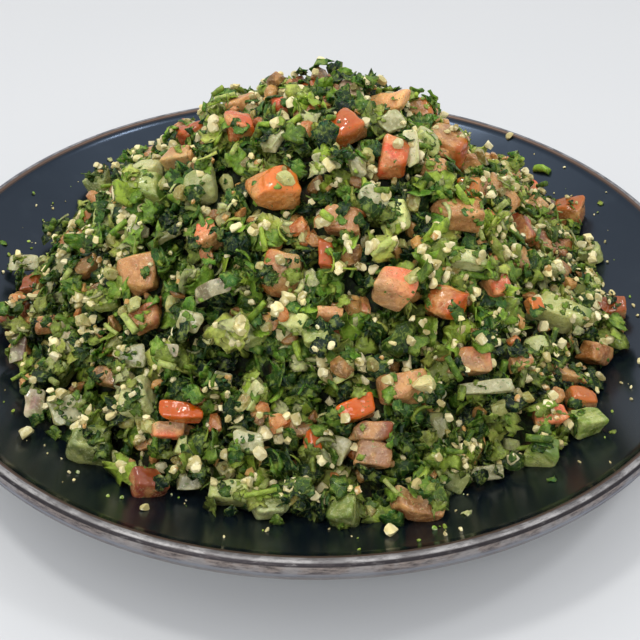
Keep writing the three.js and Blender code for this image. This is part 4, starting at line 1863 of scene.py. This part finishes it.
    def _dice(self) -> None:
        """Puts down the tomato, cucumber and onion."""
        rings, around = 60, 160
        form = self.mound.point(*self.mound.grid(np.linspace(0.001, 1, rings), around)).reshape(-1, 3)
        triangles = fan_and_bands(rings, around, (False, False))
        tree = BVHTree.FromPolygons(form.tolist(), triangles.tolist())
        for marks, kind, chip in (
            (TOMATO_PLACES, self.tomatoes, False),
            (CUCUMBER_PLACES, self.cucumbers, False),
            (ONION_PLACES, self.onions, True),
        ):
            for mark in marks:
                self._place_landmark(mark, tree, chip, kind)
        reds = (Tone.ORANGE, Tone.RED, Tone.ROSE, Tone.BRICK, Tone.SALMON, Tone.SALMON, Tone.BROWN, Tone.PINK)
        self._more(self.tomatoes, self.more_tomatoes, (9.4, 8.6, 7.6), reds, peeled=0.45, proud=(3.6, 5.8))
        greens = (Tone.PALE, Tone.LIME, Tone.MOSS, Tone.CREAM)
        self._more(
            self.cucumbers, self.more_cucumbers, (8.0, 7.0, 6.0), greens,
            peeled=0.3, proud=(3.6, 5.6), herby=1.0,
        )
        whites = (Tone.WHITE, Tone.GREY, Tone.PURPLE, Tone.CREAM)
        self._more(self.onions, self.more_onions, (7.2, 5.4, 1.8), whites, peeled=0.0, proud=(4.0, 5.8))
        for kind in (self.tomatoes, self.cucumbers, self.onions):
            self.pile.add(*kind.lot.joined(), kind.grounds())

    # -------------------------------------------------------------- herbs and grains

    def _landing(self, count: int, chances: tuple[float, ...], spaced: bool = False, groups: int = 1,
                 patchy: float = 0.0, massed: bool = False) -> Landing:
        """Lets pieces fall onto the heap from all round.

        Args:
            count: How many fall.
            chances: The share that stays on each of the grounds, in their order.
            spaced: Whether they keep off each other.
            groups: How many fall close together.
            patchy: How much thinner they are between their crowded patches.
            massed: Whether they crowd where the herb is light.

        Returns:
            The places of those that stay.
        """
        rng = self.rng
        if spaced:
            share, bearing = self.mound.spread(rng, count, np.zeros((0, 4)), draws=8)
        else:
            share, bearing = self.mound.scatter(rng, count // groups)
            share, bearing = np.repeat(share, groups), np.repeat(bearing, groups)
        if groups > 1:
            share = np.clip(share + rng.normal(0, self.group_spread, len(share)), 0.01, 0.995)
            bearing = bearing + rng.normal(0, self.group_spread, len(share)) / np.maximum(share, 0.15)
        normals = self.mound.normal(share, bearing)
        starts = self.mound.point(share, bearing) + normals * self.drop
        hits, faces, grounds = self.pile.land(starts, -normals)
        crowd = smooth_step(self.crowds.at(hits), *self.crowd_band)
        if massed:
            crowd = smooth_step(self._mass(hits), *self.massed_band)
        stays = np.array([*chances, 0.0])[grounds] * (1 - patchy + patchy * crowd)
        kept = (rng.random(len(hits)) < stays) & (hits[:, 2] < self.crest)
        on_dice = np.isin(grounds[kept], (Ground.DICE.value, Ground.HERBY_DICE.value))
        return Landing(hits[kept], normals[kept], faces[kept], on_dice)

    def _mass(self, points: Array) -> Array:
        """How light the mass of herb is at places, from 0 to 1."""
        return smooth_step(self.masses.at(points), *self.mass_band)

    def _greens(self, colours: Palette, points: Array, spread: float, jitter: float) -> Array:
        """Herb colours that gather into dark and light masses.

        Args:
            colours: The palette, from dark to light.
            points: (n, 3) places.
            spread: How far each colour varies in lightness.
            jitter: How far each strays from its mass, as a share of the palette.

        Returns:
            (n, 3) colours.
        """
        rng, count = self.rng, len(points)
        step = np.clip(self._mass(points) + rng.normal(0, jitter, count), 0, 0.999) * len(colours)
        light = self.patch_depth * self.patches.at(points) + rng.normal(0, spread, count)
        # Painted shade at the heap's foot darkens the herb colours.
        light = np.exp(np.minimum(light, self.lightest)) * self._painted_shade(points[:, 2])
        return np.array(colours)[step.astype(int)] * light[:, None]

    def _painted_shade(self, heights: Array) -> Array:
        """Painted shade: how much darker the pieces at the foot are coloured, 1 where they are not."""
        return np.exp(-self.painted_foot_shade * (1 - smooth_step(heights, *self.foot_band)))

    def _open(self, points: Array) -> Array:
        """Which places leave the landmarks' open sides bare, with a few that do not.

        Args:
            points: (n, 3) places.

        Returns:
            (n,) which may be used.
        """
        hides = np.zeros(len(points), bool)
        for x, y, z, reach in self.bare:
            way = unit(self.viewpoint.stand() - (x, y, z))
            apart = points - (x, y, z)
            along = apart @ way
            off = np.linalg.norm(apart - along[:, None] * way, axis=1)
            hides |= (along > 0.0) & (along < self.shadow) & (off < self.bare_middle * reach)
        return ~hides | (self.rng.random(len(points)) > self.bared)

    def _strew(self, kind: Union[Frills, Rods, Chunks], middles: Array, facing: Array, sizes: Array,
               reach: Array, colours: Palette, spread: float = 0.12, jitter: Optional[float] = 0.09,
               anywhere: bool = False) -> None:
        """Puts pieces down, off the plate and mostly off the landmarks' open sides.

        Args:
            kind: Their kind.
            middles: (n, 3) places.
            facing: (n, 3) directions that they face.
            sizes: (n,) or (n, 3) sizes, as their kind takes them.
            reach: (n,) how far they reach towards the plate.
            colours: Their colours.
            spread: How far each colour varies in lightness.
            jitter: How far each strays from its mass of herb, None for pieces that keep to no mass.
            anywhere: Whether they may lie on the open sides too.
        """
        middles = self._above_plate(middles, reach)
        kept = self._open(middles) | anywhere
        middles = middles[kept]
        if jitter is None:
            tints = drawn_from(self.rng, colours, len(middles), spread)
        else:
            tints = self._greens(colours, middles, spread, jitter)
        kind.add(middles, facing[kept], sizes[kept], tints)

    def _tufts(self, kind: Frills, layer: TuftLayer) -> None:
        """Puts down tufts of curly herb.

        Args:
            kind: The kind of their bits.
            layer: How many there are, how large and where.
        """
        rng = self.rng
        fall = self._landing(layer.count, layer.chances, spaced=True, patchy=layer.patchy, massed=True)
        count = len(fall.places)
        each = (count, layer.bits)
        radius = rng.uniform(*layer.radius, count) * np.where(fall.on_dice, 0.62, 1.0)
        height = rng.uniform(*layer.height, count) * np.where(fall.on_dice, 0.1, 1)
        base = fall.places + fall.normals * height[:, None]
        out = fall.normals[:, None] * rng.uniform(0.1, 1.2, (*each, 1))
        out = unit(out + rng.normal(0, 0.62, (*each, 3)))
        middles = base[:, None] + out * (radius[:, None] * rng.uniform(0.25, 0.95, each))[..., None]
        facing = unit(out + rng.normal(0, 0.42, out.shape)).reshape(-1, 3)
        sizes = (radius[:, None] * rng.uniform(*layer.share, each)).reshape(-1)
        self._strew(kind, middles.reshape(-1, 3), facing, sizes, 0.5 * sizes, layer.colours)

    def _collars(self, kind: Frills, each: int, radii: Pair, colours: Palette) -> None:
        """Lays herb bits round every cut piece and over its edges.

        Args:
            kind: The bits' kind.
            each: How many lie round a piece.
            radii: Their half sizes, least and most.
            colours: Their colours.
        """
        rng = self.rng
        pieces = np.repeat(np.array(self.taken), each, axis=0)
        count = len(pieces)
        out = unit(pieces[:, :3] - [*self.mound.peak, -self.collar_depth])
        aside = turned_frames(out, rng)[:, :, 0]
        reach = pieces[:, 3] * rng.uniform(0.75, 1.15, count)
        height = pieces[:, 3] * rng.uniform(0.1, 0.75, count)
        middles = pieces[:, :3] + aside * reach[:, None] + out * height[:, None]
        facing = unit(out + 0.5 * aside + rng.normal(0, 0.4, (count, 3)))
        sizes = rng.uniform(*radii, count)
        self._strew(kind, middles, facing, sizes, 0.5 * sizes, colours)

    def _bits(self, kind: Frills, count: int, radii: Pair, colours: Palette,
              chances: tuple[float, ...], lift: float) -> None:
        """Scatters single herb bits over all that is there.

        Args:
            kind: Their kind.
            count: How many fall.
            radii: Their half sizes, least and most.
            colours: Their colours.
            chances: The share that stays on each of the grounds.
            lift: How far they stand out, in their own half sizes.
        """
        rng = self.rng
        fall = self._landing(count, chances, patchy=0.5, massed=True)
        count = len(fall.places)
        sizes = rng.uniform(*radii, count) * np.where(fall.on_dice, 0.6, 1.0)
        lean = rng.normal(0, 0.5, (count, 3)) * np.where(fall.on_dice, 0.4, 1)[:, None]
        facing = unit(0.5 * fall.normals + fall.faces + lean)
        middles = fall.places + fall.normals * (sizes * lift * rng.uniform(0.0, 1.0, count))[:, None]
        small, reach = radii[1] < self.small_bit, 0.5 * sizes
        self._strew(kind, middles, facing, sizes, reach, colours, spread=0.1, jitter=0.08, anywhere=small)

    def _lumps(self, kind: Chunks, count: int, lengths: Pair, colours: Palette,
               groups: int = 1, on_dice: float = 0.35) -> None:
        """Scatters lumps.

        Args:
            kind: Their kind.
            count: How many fall.
            lengths: Their lengths, least and most.
            colours: Their colours.
            groups: How many lie together.
            on_dice: The share of those on dice that stay.
        """
        rng = self.rng
        chances = (1.0, on_dice, 1.0, 1.0, on_dice)
        fall = self._landing(count, chances, groups=groups, patchy=0.8)
        count = len(fall.places)
        long = rng.uniform(*lengths, count)
        sides = [np.ones(count), rng.uniform(0.66, 0.95, count), rng.uniform(0.5, 0.8, count)]
        middles = fall.places + fall.normals * (long * rng.uniform(0.06, 0.3, count))[:, None]
        sizes = long[:, None] * np.stack(sides, axis=1) * CUT_LOSS
        facing = unit(fall.normals + fall.faces)
        self._strew(kind, middles, facing, sizes, 0.4 * long, colours, spread=0.08, jitter=None)

    def _rods(self, kind: Rods, count: int, sizes: tuple[Pair, ...], colours: Palette) -> None:
        """Scatters stems or narrow shreds.

        Args:
            kind: Their kind.
            count: How many fall.
            sizes: Least and most length, width and thickness over width.
            colours: Their colours.
        """
        rng = self.rng
        fall = self._landing(count, (1.0, 0.15, 1.0, 0.4, 0.4))
        count = len(fall.places)
        long, wide, thick = (rng.uniform(*size, count) for size in sizes)
        thick = thick * wide
        lean = unit(fall.normals + rng.normal(0, 0.36, (count, 3)))
        middles = fall.places + fall.normals * (0.2 + thick * 0.35)[:, None]
        sides = np.stack([long, wide, thick], axis=1)
        self._strew(kind, middles, lean, sides, 0.4 * wide + 0.08 * long, colours, jitter=0.18)

    def build(self) -> None:
        """Builds the heap from its core outwards."""
        self._core()
        self._dice()
        self._tufts(self.dark_frills, self.low_tufts)
        self.pile.add(*self.dark_frills.lot.joined(), Ground.HERB)
        self._lumps(self.tomato_bits, 680, (3.4, 6.4), TOMATO_BITS, on_dice=0.2)
        self._lumps(self.pale_bits, 820, (2.8, 5.8), PALE_BITS, on_dice=0.2)
        self.pile.add(*self.tomato_bits.lot.joined(), Ground.GRAIN)
        self.pile.add(*self.pale_bits.lot.joined(), Ground.GRAIN)
        self._tufts(self.leaf_frills, self.high_tufts)
        self._collars(self.leaf_frills, 3, (1.8, 3.2), DEEP_GREENS + LEAF_GREENS)
        greens = DEEP_GREENS[1:] + LEAF_GREENS + LIME_GREENS[:3]
        self._bits(self.leaflets, 1900, (2.4, 4.6), greens, (1.0, 0.08, 0.8, 0.5, 0.9), lift=0.6)
        self.pile.add(*self.leaf_frills.lot.joined(), Ground.HERB)
        self.pile.add(*self.leaflets.lot.joined(), Ground.HERB)
        self._lumps(self.grains, 720, (2.0, 3.5), CREAMS)
        self._lumps(self.grains, 540, (2.0, 3.5), CREAMS, groups=4)
        self.pile.add(*self.grains.lot.joined(), Ground.GRAIN)
        greens = DEEP_GREENS[2:] + LEAF_GREENS + LIME_GREENS
        self._bits(self.bright_frills, 1100, (1.3, 3.2), greens, (1.0, 0.06, 0.7, 0.12, 0.8), lift=0.6)
        self._lumps(self.small_grains, 1300, (1.4, 2.5), CREAMS + PALE_BITS[:2] + TOMATO_BITS[2:3])
        flecks = DEEP_GREENS[2:] + LEAF_GREENS + LIME_GREENS[:2]
        self._bits(self.flecks, 11000, (0.9, 2.2), flecks, (0.0, 0.14, 0.0, 0.02, 0.8), lift=0.12)
        self._rods(self.stems, 200, ((3.6, 8.0), (1.2, 2.3), (1, 1)), STEM_GREENS)
        self._rods(self.shreds, 800, ((3.0, 7.5), (0.9, 1.8), (0.2, 0.4)), LEAF_GREENS + LIME_GREENS)
        herb = HerbFinish().make()
        frills = (self.dark_frills, self.leaf_frills, self.bright_frills, self.leaflets, self.flecks)
        for kind in (*frills, self.shreds, self.stems):
            kind.lot.build(herb, "salad")
        for kind, bits in ((self.tomatoes, self.tomato_bits), (self.cucumbers, self.pale_bits)):
            finish = kind.finish.make()
            kind.lot.build(finish, "salad")
            bits.lot.build(finish, "salad")
        self.onions.lot.build(self.onions.finish.make(), "salad")
        wheat = GrainFinish().make()
        for kind in (self.grains, self.small_grains):
            kind.lot.build(wheat, "salad")


# ------------------------------------------------------------------ what lies apart on the plate


@dataclass
class Strays:
    """Single pieces and crumbs that lie apart on the plate, by bearing in degrees and radius."""

    plate: CoupePlate
    mound: Mound
    stem: Pair = (36.0, 116.0)
    grains: tuple[Triple, ...] = (  # bearing, radius, length
        (-132.0, 112.5, 4.6), (47.2, 122.9, 3.4), (-80.0, 114.6, 3.6), (-110.0, 113.6, 2.2),
        (-26.0, 110.5, 2.6), (-146.0, 112.0, 2.4), (118.0, 112.0, 3.0), (205.0, 112.5, 2.8),
    )
    flecks: tuple[Triple, ...] = (  # bearing, radius, half size
        (-163.5, 106.5, 2.6), (-70.1, 112.5, 1.6), (-57.4, 113.4, 1.5), (-44.0, 113.0, 1.2),
        (20.0, 117.0, 1.3), (96.0, 113.0, 1.6), (140.0, 114.0, 1.3), (175.0, 112.0, 1.5),
        (-20.0, 114.0, 1.2),
    )
    crumb_count: int = 150
    crumb_gap: float = 4.5  # from the heap's foot
    crumb_reach: float = 121.0  # the radius that no crumb lies beyond
    seed: int = 91

    def _places(self, spots: Array, lift: Array) -> tuple[Array, Array]:
        """Places on the plate's upper surface.

        Args:
            spots: (n, 2) bearings and radii.
            lift: (n,) how far each lies above the surface.

        Returns:
            (n, 3) places and (n, 3) directions out of the surface.
        """
        bearing, radius = np.radians(spots[:, 0]), spots[:, 1]
        across, back = radius * np.cos(bearing), radius * np.sin(bearing)
        places = np.stack([across, back, self.plate.height(radius)], axis=1)
        normals = np.array([self.plate.normal(place) for place in places])
        return places + normals * lift[:, None], normals

    def build(self) -> None:
        """Makes the stem, the grains, the flecks and the crumbs."""
        rng = np.random.default_rng(self.seed)
        stem = Rods("stray_stem", 92, rings=9, sides=12)
        places, normals = self._places(np.array([self.stem]), np.array([1.3]))
        stem.add(places, normals, np.array([[7.0, 3.2, 3.0]]), np.array([srgb(132, 168, 48)]))
        grains = Chunks("stray_grains", 93)
        spots = np.array(self.grains)
        places, normals = self._places(spots[:, :2], spots[:, 2] * 0.3)
        sizes = spots[:, 2:] * CUT_LOSS * np.array([[1.0, 0.78, 0.66]])
        grains.add(places, normals, sizes, drawn_from(rng, CREAMS, len(spots), 0.05))
        flecks = Frills("stray_flecks", 94)
        spots = np.array(self.flecks)
        places, normals = self._places(spots[:, :2], spots[:, 2] * 0.3)
        flecks.add(places, normals, spots[:, 2], drawn_from(rng, LEAF_GREENS + LIME_GREENS, len(spots), 0.1))
        crumbs, count = Chunks("crumbs", 95), self.crumb_count
        bearing = rng.uniform(-180, 180, count)
        radius = self.mound.foot(np.radians(bearing)) + self.crumb_gap + rng.exponential(3.2, count)
        small = rng.uniform(0.4, 1.5, count)
        spots = np.stack([bearing, np.minimum(radius, self.crumb_reach)], axis=1)
        places, normals = self._places(spots, small * 0.25)
        sides = small[:, None] * rng.uniform(0.6, 1.3, (count, 3))
        colours = CREAMS + LIME_GREENS[:2] + PALE_BITS[2:3]
        crumbs.add(places, normals, sides, drawn_from(rng, colours, count, 0.1))
        herb, wheat = HerbFinish("plate_parsley").make(), GrainFinish("plate_grain").make()
        for kind, finish in ((stem, herb), (grains, wheat), (flecks, herb), (crumbs, wheat)):
            kind.lot.build(finish, "plate")


# ------------------------------------------------------------------ all of it


def main() -> None:
    """Builds the camera, the studio, the plate and the heap."""
    logging.basicConfig(level=logging.INFO, format="%(name)s %(message)s", stream=sys.stdout)
    viewpoint = Viewpoint()
    viewpoint.make_camera()
    Studio().build()
    plate = CoupePlate()
    plate.build()
    mound = Mound(plate)
    Heap(mound, viewpoint).build()
    Strays(plate, mound).build()


if __name__ == "__main__":
    main()
